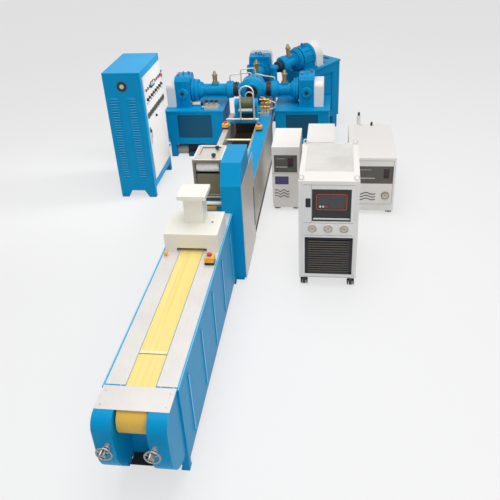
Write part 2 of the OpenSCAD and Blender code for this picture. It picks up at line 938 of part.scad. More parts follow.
module left_barrel() {
  heading(180) barrel(hub_start, left_barrel, axis_height);
}

module right_barrel() {
  heading(0) barrel(hub_start, right_barrel, axis_height);
}

module back_barrel() {
  heading(90) barrel(hub_start, back_barrel, axis_height);
}

module upper_barrel() {
  heading(45) leaning() barrel(upper_start, upper_barrel, upper_axis);
}

module feed_ports() {
  color(steel) {
    heading(180) feed_port(hub_start, left_barrel, axis_height);
    heading(0) feed_port(hub_start, right_barrel, axis_height);
    heading(90) feed_port(hub_start, back_barrel, axis_height);
    heading(45) leaning() feed_port(upper_start, upper_barrel, upper_axis);
  }
}

module pulley_guards() {
  left_at = gearbox_start(hub_start, left_barrel) + gearbox_length;
  right_at = gearbox_start(hub_start, right_barrel) + gearbox_length;
  back_at = gearbox_start(hub_start, back_barrel) + gearbox_length;
  upper_at = gearbox_start(upper_start, upper_barrel) + gearbox_length;
  color(white) {
    heading(180) pulley_cover(left_at, axis_height, deck_height, cover_rise, cover_round);
    heading(0) pulley_cover(right_at, axis_height, deck_height, cover_rise, cover_round);
    heading(90) pulley_cover(back_at, axis_height, deck_height, gearbox_rise + 40, cover_round);
    heading(45) leaning()
      pulley_cover(upper_at, upper_axis, upper_deck, gearbox_width / 2, round_cover);
  }
}

module die_head() {
  half = head_length / 2;
  reach = -ring_length - elbow_lead;
  elbow_x = upper_start + reach * cos(upper_lean);
  elbow_z = upper_axis + reach * sin(upper_lean);
  color(blue) {
    translate([head_x, head_y + half, axis_height]) rotate([90, 0, 0]) rotate_extrude() polygon([
      [0, 0], [head_diameter / 2 - 8, 0], [head_diameter / 2, 8], [head_diameter / 2, 60],
      [head_diameter / 2 - 12, 60], [head_diameter / 2 - 12, 84], [head_diameter / 2, 84],
      [head_diameter / 2, head_length - 50], [die_ring + 20, head_length], [0, head_length]
    ]);
    for (angle = [0, 90, 180])
      heading(angle) bar_x(0, ring_start, 0, axis_height, 80);
    slab([head_x - 60, head_y - half + 60, deck_height], [head_x + 60, head_y + half - 20, axis_height]);
    heading(45) {
      bar_x(0, elbow_x, 0, axis_height, flow_pipe);
      translate([elbow_x, 0, axis_height]) sphere(r = flow_pipe + 5);
      translate([elbow_x, 0, axis_height]) cylinder(r = flow_pipe, h = elbow_z - axis_height);
      translate([elbow_x, 0, elbow_z]) sphere(r = flow_pipe + 5);
      leaning() bar_x(upper_start + reach, upper_start - ring_length, 0, upper_axis, flow_pipe);
    }
  }
}

module clamp_rings() {
  front = head_y - head_length / 2;
  color(black) {
    for (angle = [0, 90, 180])
      heading(angle) bar_x(ring_start, hub_start, 0, axis_height, 92);
    heading(45) leaning() bar_x(upper_start - ring_length, upper_start, 0, upper_axis, 72);
    translate([head_x, front, axis_height]) rotate([90, 0, 0]) difference() {
      cylinder(r = die_ring, h = 40);
      translate([0, 0, 12]) cylinder(r = die_ring - 26, h = 40);
    }
  }
}

// Water pipes and valve blocks round the die

module valve_block(x, y, deck, length) {
  translate([x, y, deck]) {
    cube([length, 90, 46]);
    for (i = [0 : 2]) translate([(i + 0.5) * length / 3, 45, 46]) {
      cylinder(r = 16, h = 30);
      translate([0, 0, 26]) cylinder(r = 25, h = 16);
    }
    translate([0, 45, 24]) rotate([0, -90, 0]) cylinder(r = 11, h = 34);
  }
}

module coolant_pipes() {
  color(steel) {
    pipe_arch(head_x - 18, trough_end + 62, deck_height, 180, 48, 8);
    valve_block(head_x - left_end + 520, head_y - base_width / 2 + 40, deck_height, 190);
    valve_block(channel_right + 22, trough_end - 120, trough_height, 118);
  }
}

// Control cabinet

module cabinet_side(y) {
  slab([cabinet_back + cabinet_sheet, y, cabinet_legs],
       [cabinet_x - cabinet_sheet, y + cabinet_sheet, cabinet_height - cabinet_sheet]);
}

// One pressed louvre: a wedge that opens downwards
module louvre(x, z) {
  profile_x(x, x + louvre_width) polygon([
    [cabinet_y + 0.5, z], [cabinet_y - louvre_proud, z], [cabinet_y + 0.5, z + louvre_rise]
  ]);
}

module cabinet_near_wall() {
  columns = [cabinet_back + 57, cabinet_x - 83 - louvre_width];
  pitch = (cabinet_height - louvre_low - louvre_head) / (louvre_rows - 1);
  color(blue) {
    cabinet_side(cabinet_y);
    for (x = columns, i = [0 : louvre_rows - 1])
      louvre(x, louvre_low + i * pitch);
  }
}

module cabinet_far_wall() {
  color(blue) cabinet_side(cabinet_far - cabinet_sheet);
}

module cabinet_back() {
  color(blue) slab([cabinet_back, cabinet_y, cabinet_legs],
                   [cabinet_back + cabinet_sheet, cabinet_far, cabinet_height - cabinet_sheet]);
}

module cabinet_roof() {
  color(blue) slab([cabinet_back, cabinet_y, cabinet_height - cabinet_sheet],
                   [cabinet_x, cabinet_far, cabinet_height]);
}

module cabinet_floor() {
  color(blue) {
    slab([cabinet_back + cabinet_sheet, cabinet_y + cabinet_sheet, cabinet_legs],
         [cabinet_x - cabinet_sheet, cabinet_far - cabinet_sheet, cabinet_legs + 4]);
    for (y = [cabinet_y, cabinet_far - skirt_sheet])
      translate([0, y + skirt_sheet, 0]) rotate([90, 0, 0]) linear_extrude(skirt_sheet) polygon([
        [cabinet_back, cabinet_legs], [cabinet_back, 0], [cabinet_back + 85, 0],
        [cabinet_back + 135, cabinet_legs - 22], [cabinet_x - 135, cabinet_legs - 22],
        [cabinet_x - 85, 0], [cabinet_x, 0], [cabinet_x, cabinet_legs]
      ]);
  }
}

module hinge_knuckles(z) {
  for (step = [-42, 17])
    translate([hinge_x, hinge_y, z + step]) cylinder(r = hinge_r, h = 25);
  translate([hinge_x, hinge_y, z - 42]) cylinder(r = hinge_pin, h = 84);
  for (step = [-42, 17])
    slab([cabinet_x - 1, hinge_y + 3, z + step], [hinge_x, hinge_y + hinge_r, z + step + 25]);
}

module cabinet_frame() {
  color(blue) {
    difference() {
      slab([cabinet_x - cabinet_sheet, cabinet_y, cabinet_legs],
           [cabinet_x, cabinet_far, cabinet_height - cabinet_sheet]);
      slab([cabinet_x - 20, door_y0 - door_gap, door_z0 - door_gap],
           [cabinet_x + 20, door_y1 + door_gap, door_z1 + door_gap]);
    }
    for (z = hinge_zs) hinge_knuckles(z);
  }
}

module cabinet_door() {
  color(white) difference() {
    union() {
      slab([door_face - door_sheet, door_y0, door_z0], [door_face, door_y1, door_z1]);
      slab([door_face, door_y0 + 14, 660], [door_face + 16, door_y0 + 36, 790]);
      for (z = hinge_zs) {
        translate([hinge_x, hinge_y, z - 15]) cylinder(r = hinge_r, h = 30);
        slab([door_face - 1, door_y1 - 30, z - 15], [door_face + 4, hinge_y, z + 15]);
      }
    }
    for (z = hinge_zs)
      translate([hinge_x, hinge_y, z - 50]) cylinder(r = hinge_pin + fit, h = 100);
  }
}

// Temperature units

// A closed housing on castors
module housing(place_at, size) {
  translate([place_at[0], place_at[1], castor_height]) cube(size - [0, 0, castor_height]);
}

// A wavy slot across a front, drawn from its lower edge to its upper edge
module wave_slot(x, y, z, length) {
  swing = 11;
  steps = 24;
  low = [for (i = [0 : steps]) [x + i * length / steps, z + swing * sin(i * 720 / steps)]];
  high = [for (i = [steps : -1 : 0]) [x + i * length / steps, z + 15 + swing * sin(i * 720 / steps)]];
  translate([0, y + slot_sink, 0]) rotate([90, 0, 0]) linear_extrude(slot_sink + 1)
    polygon(concat(low, high));
}

// An upright lifting ring
module lifting_eye(x, y, z) {
  translate([x, y, z + 26]) rotate([90, 0, 0]) rotate_extrude() translate([20, 0]) circle(r = 5);
  translate([x, y, z]) cylinder(r = 9, h = 9);
}

module chiller() {
  front = chiller_y;
  color(white) {
    difference() {
      housing([chiller_x, chiller_y], [chiller_width, chiller_length, chiller_height]);
      translate([chiller_panel_x, front - 1, chiller_panel_z])
        cube([chiller_panel_w, panel_sink + 1, chiller_panel_h]);
      translate([chiller_grille_x, front - 1, chiller_grille_z])
        cube([chiller_grille_w, grille_sink + 1, chiller_grille_h]);
      slab([chiller_x + 48, front + 196, chiller_height - 6],
           [chiller_x + chiller_width - 50, front + chiller_length - 16, chiller_height + 1]);
      for (x = [chiller_x + 26, chiller_x + chiller_width - 34])
        slab([x, front - 1, castor_height + 22], [x + 8, front + 5, chiller_height - 22]);
    }
    for (x = [chiller_x + 26, chiller_x + chiller_width - 26], y = [front + 26, front + chiller_length - 26])
      lifting_eye(x, y, chiller_height);
    for (i = [-1 : 1])
      translate([chiller_x + chiller_width / 2 + i * gauge_pitch, front, gauge_z]) rotate([90, 0, 0])
        difference() {
          cylinder(r = gauge_radius, h = 16);
          translate([0, 0, 9]) cylinder(r = gauge_radius - 6, h = 8);
        }
  }
}

module heater(x, y, size) {
  color(white) difference() {
    housing([x, y], size);
    translate([x + heater_frame, y - 1, size[2] - heater_panel_top - heater_panel_h])
      cube([size[0] - 2 * heater_frame, panel_sink + 1, heater_panel_h]);
    for (i = [0 : 2])
      wave_slot(x + heater_frame, y, castor_height + 70 + i * 34, size[0] * 0.55);
  }
}

module heater_left() {
  heater(left_heater_x, heater_y, [heater_width, heater_length, heater_height]);
}

module heater_middle() {
  heater(middle_heater_x, middle_y, [heater_width, heater_length, heater_height]);
}

module heater_wide() {
  heater(wide_x, wide_y, [wide_width, wide_length, wide_height]);
}

// Inset control panel of a heater
module heater_panel(x, y, size) {
  translate([x + heater_frame, y + 3, size[2] - heater_panel_top - heater_panel_h])
    cube([size[0] - 2 * heater_frame, panel_sink - 3, heater_panel_h]);
}

module unit_panels() {
  slat_step = chiller_grille_h / grille_slats;
  color(black) {
    translate([chiller_panel_x, chiller_y + 3, chiller_panel_z])
      cube([chiller_panel_w, panel_sink - 3, chiller_panel_h]);
    translate([chiller_grille_x, chiller_y + grille_sink - 4, chiller_grille_z])
      cube([chiller_grille_w, 4, chiller_grille_h]);
    for (i = [0 : grille_slats - 1])
      profile_x(chiller_grille_x, chiller_grille_x + chiller_grille_w) polygon([
        [chiller_y + 4, chiller_grille_z + (i + 0.2) * slat_step],
        [chiller_y + 8, chiller_grille_z + (i + 0.1) * slat_step],
        [chiller_y + grille_sink - 3, chiller_grille_z + (i + 0.75) * slat_step],
        [chiller_y + grille_sink - 3, chiller_grille_z + (i + 0.9) * slat_step]
      ]);
    heater_panel(left_heater_x, heater_y, [heater_width, heater_length, heater_height]);
    heater_panel(middle_heater_x, middle_y, [heater_width, heater_length, heater_height]);
    heater_panel(wide_x, wide_y, [wide_width, wide_length, wide_height]);
  }
}

module castors(x, y, width, length) {
  wheel = (castor_height - 8) / 2;
  for (u = [45, width - 45], v = [70, length - 70]) translate([x + u, y + v, 0]) {
    bar_x(-14, 14, 0, wheel, wheel);
    translate([-20, -16, wheel - 10]) cube([40, 32, castor_height - wheel + 6]);
    translate([-28, -40, castor_height - 8]) cube([56, 80, 8]);
  }
}

module unit_castors() {
  color(black) {
    castors(chiller_x, chiller_y, chiller_width, chiller_length);
    castors(left_heater_x, heater_y, heater_width, heater_length);
    castors(middle_heater_x, middle_y, heater_width, heater_length);
    castors(wide_x, wide_y, wide_width, wide_length);
  }
}

place() {
  conveyor_panel_left();
  conveyor_panel_right();
  conveyor_legs();
  conveyor_table();
  belt_bed();
  belt();
  belt_rollers();
  nose_cheeks();
  nose_apron();
  nose_cover();
  handwheel_left();
  handwheel_right();
  tunnel_hood();
  hood_stack();
  stop_box_bases();
  stop_boxes();
  stop_buttons();
  stand_base();
  roll_stand();
  pull_roll();
  guide_rolls();
  drive_guard();
  stand_side_plate();
  trough_left_wall();
  trough_right_casing();
  trough_floor();
  trough_trim();
  spray_bar();
  press_yoke();
  press_roll();
  die_head();
  clamp_rings();
  coolant_pipes();
  feed_ports();
  pulley_guards();
  left_base();
  left_gearbox();
  left_barrel();
  right_base();
  right_gearbox();
  right_barrel();
  back_base();
  back_gearbox();
  back_barrel();
  upper_base();
  upper_gearbox();
  upper_barrel();
  cabinet_near_wall();
  cabinet_far_wall();
  cabinet_back();
  cabinet_roof();
  cabinet_floor();
  cabinet_frame();
  cabinet_door();
  chiller();
  heater_left();
  heater_middle();
  heater_wide();
  unit_panels();
  unit_castors();
}
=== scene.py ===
"""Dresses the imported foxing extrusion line: finishes, small parts and a plain studio."""

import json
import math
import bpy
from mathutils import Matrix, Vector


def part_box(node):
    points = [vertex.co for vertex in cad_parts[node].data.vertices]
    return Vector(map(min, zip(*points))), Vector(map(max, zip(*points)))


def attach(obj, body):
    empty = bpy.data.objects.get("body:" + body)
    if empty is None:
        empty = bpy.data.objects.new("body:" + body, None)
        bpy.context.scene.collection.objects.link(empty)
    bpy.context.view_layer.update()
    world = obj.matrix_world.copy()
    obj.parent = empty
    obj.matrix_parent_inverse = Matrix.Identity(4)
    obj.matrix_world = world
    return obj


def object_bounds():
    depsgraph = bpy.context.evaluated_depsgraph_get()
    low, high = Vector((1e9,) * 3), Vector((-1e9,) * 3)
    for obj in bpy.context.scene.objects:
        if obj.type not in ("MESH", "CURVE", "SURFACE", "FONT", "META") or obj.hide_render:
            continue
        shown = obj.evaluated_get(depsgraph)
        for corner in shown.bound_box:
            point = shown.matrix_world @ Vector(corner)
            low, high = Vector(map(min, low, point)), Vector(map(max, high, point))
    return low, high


bl_info = {
    "name": "Foxing extrusion line",
    "version": (1, 0, 0),
    "blender": (4, 5, 0),
    "location": "View3D > Sidebar > Extrusion line",
    "description": "Paint, steel, belt, instruments, bolts, pipes and a plain studio for the extrusion line",
    "category": "Object",
}

import bmesh
import bpy
import numpy as np
from mathutils import Matrix

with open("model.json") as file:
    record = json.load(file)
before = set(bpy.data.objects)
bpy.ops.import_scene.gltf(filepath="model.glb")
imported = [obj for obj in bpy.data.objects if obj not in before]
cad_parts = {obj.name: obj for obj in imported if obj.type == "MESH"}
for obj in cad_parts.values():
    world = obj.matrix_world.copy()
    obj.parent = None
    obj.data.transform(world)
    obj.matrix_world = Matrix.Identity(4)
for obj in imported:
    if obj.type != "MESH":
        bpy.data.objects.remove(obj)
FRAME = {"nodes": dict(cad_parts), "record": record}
NODES = FRAME["nodes"]
CAD_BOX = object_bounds()
LINE = "line"
DOOR = "cabinet_door"
DECKED = ("left_base", "right_base")
HEATERS = ("heater_left", "heater_middle", "heater_wide")
WHEELS = ("handwheel_left", "handwheel_right")

# Zero of the belt's own frame: X on the belt, Y at the near edge of the conveyor panels, Z on the floor
BELT = np.array([
    (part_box("belt")[0][0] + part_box("belt")[1][0]) / 2.0,
    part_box("conveyor_panel_left")[0][1],
    CAD_BOX[0][2],
])
NEAR = (0.0, -1.0, 0.0)
RIGHT = (1.0, 0.0, 0.0)
LEFT = (-1.0, 0.0, 0.0)
UPRIGHT = (0.0, 0.0, 1.0)
DOWN = (0.0, 0.0, -1.0)

# Edges steeper than this angle, in radians, stay sharp
CREASE = 0.62


def corners(node):
    """Lowest and highest corner of a CAD node in millimetres of the belt's frame."""
    low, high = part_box(node)
    return (np.array(low) - BELT) * 1000.0, (np.array(high) - BELT) * 1000.0


def middle(node):
    """Centre of a CAD node's box in millimetres of the belt's frame: half the sum of its corners."""
    low, high = corners(node)
    return (low + high) / 2.0


def turns(count, first=0.0):
    """Even angles round a full turn: first + 2 pi k / count."""
    return first + np.arange(count) * math.tau / count


def wreath(centre, radius, turn):
    """Points on a circle that faces the near side: P_k = centre + r (cos t_k, 0, sin t_k)."""
    ring = np.stack([np.cos(turn), np.zeros(len(turn)), np.sin(turn)], axis=-1)
    return np.asarray(centre, float) + radius * ring


def sheet(points, wrap=True):
    """Quads between the neighbours of a grid of points (rows, columns, 3); wrap closes the columns."""
    rows, columns = points.shape[:2]
    index = np.arange(rows * columns).reshape(rows, columns)
    if wrap:
        index = np.concatenate([index, index[:, :1]], axis=1)
    quads = (index[:-1, :-1], index[:-1, 1:], index[1:, 1:], index[1:, :-1])
    return points.reshape(-1, 3), np.stack(quads, axis=-1).reshape(-1, 4)


def lathe(profile, sides=32):
    """P(i, k) = (r_i cos t_k, r_i sin t_k, h_i) for the (r, h) pairs of the profile, t_k = 2 pi k / sides."""
    radius, height = np.asarray(profile, float).T
    turn = turns(sides)
    rings = (np.outer(radius, np.cos(turn)), np.outer(radius, np.sin(turn)), np.outer(height, np.ones(sides)))
    return sheet(np.stack(rings, axis=-1))


def outline(width, depth, corner, arc=6):
    """Hub and direction of each point on a rounded rectangle: P = hub + corner * direction."""
    turn = np.linspace(0.0, 0.5 * np.pi, arc)[None, :] + 0.5 * np.pi * np.arange(4)[:, None]
    sign = np.array([[1, 1], [-1, 1], [-1, -1], [1, -1]], float)
    hub = np.repeat(sign * (np.array([width, depth]) / 2.0 - corner), arc, axis=0)
    return hub, np.stack([np.cos(turn), np.sin(turn)], axis=-1).reshape(-1, 2)


def levels(hub, way, corner, steps):
    """Outlines at (inset, height) steps; an inset of None draws the outline in to its middle."""
    flat = [hub * 0.0 if inset is None else hub + way * (corner - inset) for inset, _ in steps]
    high = [np.full((len(hub), 1), height) for _, height in steps]
    return sheet(np.stack([np.hstack(pair) for pair in zip(flat, high)]))


def block(width, depth, height, corner=3.0, edge=1.2):
    """A slab with rounded corners and a bevelled upper edge, standing on its middle."""
    hub, way = outline(width, depth, corner)
    return levels(hub, way, corner, [(None, 0), (0, 0), (0, height - edge), (edge, height), (None, height)])


def strip(width, depth):
    """A flat strip of sheet, 0.8 mm thick."""
    return block(width, depth, 0.8, 1, 0.2)


def hoop(width, depth, height, corner, rim):
    """A raised rectangular line with rounded corners: outer wall, top and inner wall of one outline."""
    hub, way = outline(width, depth, corner)
    return levels(hub, way, corner, [(0, 0), (0, height), (rim, height), (rim, 0), (0, 0)])


def spline(points, steps=10):
    """Catmull-Rom curve through the points, steps samples to a span."""
    knots = np.asarray(points, float)
    knots = np.vstack([2 * knots[0] - knots[1], knots, 2 * knots[-1] - knots[-2]])
    a, b, c, d = knots[:-3, None], knots[1:-2, None], knots[2:-1, None], knots[3:, None]
    t = np.linspace(0.0, 1.0, steps, endpoint=False)[None, :, None]
    curve = 0.5 * (2 * b + (c - a) * t + (2 * a - 5 * b + 4 * c - d) * t**2 + (3 * b - a - 3 * c + d) * t**3)
    return np.vstack([curve.reshape(-1, 3), knots[-2]])


def tube(path, radius, sides=14):
    """P(i, k) = C_i + r (cos t_k N_i + sin t_k B_i): a round tube along the path, closed at both ends."""
    path = np.asarray(path, float)
    along = np.gradient(path, axis=0)
    along /= np.linalg.norm(along, axis=1, keepdims=True)
    normal = np.cross((0.31, 0.17, 0.935), along)
    normal /= np.linalg.norm(normal, axis=1, keepdims=True)
    across = np.cross(along, normal)
    turn = turns(sides)[None, :, None]
    skin = path[:, None] + radius * (np.cos(turn) * normal[:, None] + np.sin(turn) * across[:, None])
    ends = [np.repeat(path[i][None, None], sides, axis=1) for i in (0, -1)]
    return sheet(np.concatenate([ends[0], skin, ends[1]]))


def repeat(part, places, axes=UPRIGHT, spins=0.0):
    """Copies of a part, Q = R_k P + c_k, with its Z along each axis and turned by each spin."""
    points, quads = part
    places = np.atleast_2d(np.asarray(places, float))
    count = len(places)
    axis = np.array(np.broadcast_to(np.asarray(axes, float), (count, 3)))
    axis /= np.linalg.norm(axis, axis=1, keepdims=True)
    helper = np.where(np.abs(axis[:, 2:]) < 0.9, [[0.0, 0.0, 1.0]], [[0.0, 1.0, 0.0]])
    side = np.cross(helper, axis)
    side /= np.linalg.norm(side, axis=1, keepdims=True)
    up = np.cross(axis, side)
    spin = np.broadcast_to(np.asarray(spins, float), (count,))[:, None]
    turned = (np.cos(spin) * side + np.sin(spin) * up, np.cos(spin) * up - np.sin(spin) * side, axis)
    moved = np.einsum("nij,kj->nki", np.stack(turned, -1), points) + places[:, None]
    shift = (np.arange(count) * len(points))[:, None, None]
    return moved.reshape(-1, 3), (quads[None] + shift).reshape(-1, 4)


def shifted(part, x=0.0, y=0.0, z=0.0):
    """The part moved: Q = P + (x, y, z)."""
    return part[0] + np.array([x, y, z]), part[1]


def join(parts):
    """One part from several: points in a row, and each part's quads counted on from the points before it."""
    start = np.cumsum([0] + [len(points) for points, _ in parts[:-1]])
    quads = [quads + first for (_, quads), first in zip(parts, start)]
    return np.concatenate([points for points, _ in parts]), np.concatenate(quads)


def piece(name, parts, finish, body=LINE, slot=None):
    """One object from parts in millimetres of the belt's frame, riding on a body of the line."""
    slot = slot or FINISHES[finish][0]
    points, quads = join(parts)
    mesh = bpy.data.meshes.new(name)
    mesh.from_pydata((points / 1000.0 + BELT).tolist(), [], quads.tolist())
    build = bmesh.new()
    build.from_mesh(mesh)
    bmesh.ops.remove_doubles(build, verts=build.verts, dist=1e-6)
    bmesh.ops.recalc_face_normals(build, faces=build.faces)
    build.to_mesh(mesh)
    build.free()
    mesh.shade_smooth()
    mesh.set_sharp_from_angle(angle=CREASE)
    # By name, so a finish that shares its name with a plain material of the frame gives way to that one here
    mesh.materials.append(bpy.data.materials[finish])
    made = bpy.data.objects.new(name, mesh)
    bpy.context.scene.collection.objects.link(made)
    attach(made, body)


def fit(name, part, places, finish, axes=UPRIGHT, spins=0.0, body=LINE, slot=None):
    """One object from a single part repeated at its places."""
    piece(name, [repeat(part, places, axes, spins)], finish, body, slot)


class Extruder:
    """Frame of one extruder: s along its screw from the die head, t across it, h above the floor."""

    # Where the four screws meet, the height of the level ones and the deck of their bases
    HEAD = np.array([middle("back_gearbox")[0], middle("left_gearbox")[1], 0.0])
    AXIS = 840.0
    DECK = corners("left_base")[1][2]
    # From the die head to the hub, the flange between barrel and gearbox, and the gearbox with its caps
    HUB = 250.0
    FLANGE = 28.0
    GEARBOX = 195.0
    CAP_FACE = 186.0

    def __init__(self, turn, barrel, form, start=HUB, axis=AXIS, deck=DECK, lean=0.0):
        self.start, self.axis, self.deck, self.form = start, axis, deck, form
        self.gearbox = start + barrel + self.FLANGE
        self.cap = self.gearbox + self.GEARBOX / 2.0
        self.collar = start + barrel - 0.5 * min(140.0, 0.26 * barrel)
        c, s = math.cos(math.radians(turn)), math.sin(math.radians(turn))
        cl, sl = math.cos(math.radians(lean)), math.sin(math.radians(lean))
        self.level = np.array([[c, -s, 0], [s, c, 0], [0, 0, 1]])
        self.basis = self.level @ np.array([[cl, 0, -sl], [0, 1, 0], [sl, 0, cl]])
        self.pivot = np.array([start, 0.0, axis])

    def place(self, s, t, h):
        """Points in the belt's frame: leaned about the hub's pivot, turned round the die head."""
        local = np.stack(np.broadcast_arrays(*np.atleast_1d(s, t, h)), axis=-1).astype(float)
        return (local - self.pivot) @ self.basis.T + self.level @ self.pivot + self.HEAD

    def way(self, s, t, h):
        """Directions in the belt's frame."""
        local = np.stack(np.broadcast_arrays(*np.atleast_1d(s, t, h)), axis=-1).astype(float)
        return local @ self.basis.T

    def circle(self, s, radius, turn):
        """Points on a circle round the screw: t = r cos(turn), h = axis + r sin(turn)."""
        return self.place(s, radius * np.cos(turn), self.axis + radius * np.sin(turn))

    def outwards(self, turn):
        """Directions away from the screw: (0, cos(turn), sin(turn))."""
        return self.way(0, np.cos(turn), np.sin(turn))


RAISED = Extruder(45, 278, "round", start=494, axis=1046, deck=890, lean=6)
EXTRUDERS = (Extruder(180, 540, "box"), Extruder(0, 342, "box"), Extruder(90, 540, "tower"), RAISED)


class Value:
    """A shader value in arithmetic: each operation adds one Math node."""

    def __init__(self, tree, socket):
        self.tree = tree
        self.socket = socket

    def math(self, operation, *others):
        """The result of one Math node on this value and others."""
        node = self.tree.nodes.new("ShaderNodeMath")
        node.operation = operation
        for slot, item in zip(node.inputs, (self, *others)):
            if isinstance(item, Value):
                self.tree.links.new(item.socket, slot)
            else:
                slot.default_value = item
        return Value(self.tree, node.outputs[0])

    def __add__(self, other):
        """This value plus another."""
        return self.math("ADD", other)

    def __mul__(self, other):
        """This value times another."""
        return self.math("MULTIPLY", other)

    def __rsub__(self, other):
        """Another value less this one: other + (-1 x this)."""
        return (self * -1.0) + other

    def band(self, low, high):
        """0 below low, 1 above high, a smooth step between."""
        node = self.tree.nodes.new("ShaderNodeMapRange")
        node.interpolation_type = "SMOOTHSTEP"
        node.inputs["From Min"].default_value = low
        node.inputs["From Max"].default_value = high
        self.tree.links.new(self.socket, node.inputs["Value"])
        return Value(self.tree, node.outputs["Result"])


class Finish:
    """One node material round a Principled shader."""

    def __init__(self, name, **fixed):
        self.material = bpy.data.materials.new(name)
        self.material.use_nodes = True
        self.tree = self.material.node_tree
        self.shader = self.tree.nodes["Principled BSDF"]
        for key, value in fixed.items():
            self.shader.inputs[key.replace("_", " ").title()].default_value = value
        self.where = self.node("ShaderNodeTexCoord").outputs["Object"]

    def put(self, slot, item):
        """Links a value or a socket into a slot, or sets a constant on it."""
        if isinstance(item, Value):
            item = item.socket
        if isinstance(item, bpy.types.NodeSocket):
            self.tree.links.new(item, slot)
        else:
            slot.default_value = item

    def node(self, kind, settings=None, **sockets):
        """A node of a kind with its settings made first and then its sockets."""
        made = self.tree.nodes.new(kind)
        for key, value in (settings or {}).items():
            setattr(made, key, value)
        for key, value in sockets.items():
            self.put(made.inputs[key.replace("_", " ")], value)
        return made

    def noise(self, scale, detail=3.0, stretch=(1, 1, 1)):
        """Noise on Object coordinates, drawn out along the axes with a small stretch."""
        spread = self.node("ShaderNodeMapping", Vector=self.where, Scale=stretch)
        made = self.node("ShaderNodeTexNoise", Vector=spread.outputs[0], Scale=scale, Detail=detail)
        return Value(self.tree, made.outputs[0])

    def axis(self, name):
        """One Object coordinate in metres."""
        parts = self.node("ShaderNodeSeparateXYZ", Vector=self.where)
        return Value(self.tree, parts.outputs[name])

    def lattice(self, pitch):
        """A square weave: sin(pitch x) sin(pitch y)."""
        return (self.axis("X") * pitch).math("SINE") * (self.axis("Y") * pitch).math("SINE")

    def mix(self, share, first, second):
        """A colour between first and second by the share."""
        made = self.node("ShaderNodeMix", {"data_type": "RGBA"})
        for slot, item in zip((0, 6, 7), (share, first, second)):
            self.put(made.inputs[slot], (*item, 1.0) if isinstance(item, tuple) else item)
        return made.outputs[2]

    def feed(self, name, source):
        """Links a value or a socket into the shader."""
        self.put(self.shader.inputs[name], source)

    def bump(self, height, strength, distance):
        """Relief of the surface from a height."""
        made = self.node("ShaderNodeBump", Height=height, Strength=strength, Distance=distance)
        self.feed("Normal", made.outputs[0])


def linear(red, green, blue):
    """An sRGB colour of 0 to 255 as linear light."""
    part = np.array([red, green, blue]) / 255.0
    light = np.where(part <= 0.04045, part / 12.92, ((part + 0.055) / 1.055) ** 2.4)
    return tuple(float(x) for x in light)


def tint(colour, share):
    """A colour times a share, no part of it above 1."""
    return tuple(min(1.0, part * share) for part in colour)


def enamel(name, colour, roughness=0.3, coat=0.1, peel=0.05, floor_dark_share=0.06, gloss=0.3):
    """Sprayed paint: faint orange peel, slow change of tone, darker in noisy patches near the floor."""
    made = Finish(name, roughness=roughness, coat_weight=coat, coat_roughness=0.16)
    made.shader.inputs["Specular IOR Level"].default_value = gloss
    tone = made.noise(1.3, 2.0).band(0.25, 0.75)
    shade = made.mix(tone, tint(colour, 0.965), tint(colour, 1.02))
    # Darker towards 0.55 of the colour in noisy patches within 0.3 m of the floor
    low = 1.0 - made.axis("Z").band(0.0, 0.3)
    floor_darkening = low * made.noise(11.0, 5.0).band(0.45, 0.8) * (floor_dark_share * 5.0)
    made.feed("Base Color", made.mix(floor_darkening, shade, tint(colour, 0.55)))
    made.feed("Roughness", made.noise(14.0, 3.0) * 0.08 + (roughness - 0.04))
    made.bump(made.noise(260.0, 1.0), peel, 0.0004)
    return made.material


def shaded(name, colour):
    """The same paint where little light reaches it: 0.30 of its colour, without a coat."""
    return enamel(name, tint(colour, 0.30), 0.45, 0.0)


def brushed(name, colour, along, roughness=0.34, metallic=1.0):
    """Brushed sheet: fine streaks drawn out along one axis, with slow clouding."""
    stretch = tuple(0.02 if axis == along else 1.0 for axis in "XYZ")
    made = Finish(name, roughness=roughness, metallic=metallic)
    streak = made.noise(900.0, 2.0, stretch)
    cloud = made.noise(4.0, 3.0)
    tone = streak * 0.6 + cloud * 0.4
    made.feed("Base Color", made.mix(tone.band(0.3, 0.7), tint(colour, 0.86), colour))
    made.feed("Roughness", streak * 0.22 + (roughness - 0.08))
    made.bump(streak, 0.12, 0.0004)
    return made.material


def moulded(name, colour, roughness=0.45, grain=0.3, coat=0.0):
    """Moulded plastic or rubber: fine grain and a slight change of tone."""
    made = Finish(name, roughness=roughness, coat_weight=coat)
    tone = made.noise(30.0, 3.0).band(0.3, 0.7)
    made.feed("Base Color", made.mix(tone, tint(colour, 0.9), tint(colour, 1.06)))
    made.feed("Roughness", made.noise(160.0, 2.0) * 0.14 + (roughness - 0.07))
    made.bump(made.noise(1500.0, 2.0), grain, 0.0002)
    return made.material


def woven_belt(name, colour):
    """Belt cover: a fine cross weave, faint lengthwise rub marks, and painted shade in a deeper gold over the
    head roller.
    """
    made = Finish(name, roughness=0.55)
    weave = made.lattice(2600.0)
    rub = made.noise(45.0, 3.0, (1.0, 0.02, 0.02))
    worn = tuple(part * share for part, share in zip(colour, (0.95, 0.90, 0.78)))
    fresh = made.mix(rub.band(0.35, 0.75), colour, worn)
    near = float(BELT[1])
    # Painted shade: a deeper gold where the belt turns over the head roller
    roller_painted_shade = 1.0 - made.axis("Y").band(near - 0.14, near - 0.06)
    made.feed("Base Color", made.mix(roller_painted_shade * 0.85, fresh, linear(226, 178, 62)))
    made.feed("Roughness", rub * 0.15 + 0.45)
    made.bump(weave, 0.12, 0.0004)
    return made.material


def wire_cloth(name, colour, gap):
    """Woven wire: pale where the lattice sin(x) sin(y) is high, with slow clouding over the darker gaps."""
    made = Finish(name, roughness=0.45, metallic=0.3)
    lattice = made.lattice(900.0)
    cloud = made.noise(5.0, 3.0).band(0.3, 0.7) * 0.3
    made.feed("Base Color", made.mix(lattice.band(-0.6, 0.6) * 0.7 + cloud, linear(*gap), colour))
    made.bump(lattice, 0.3, 0.001)
    return made.material


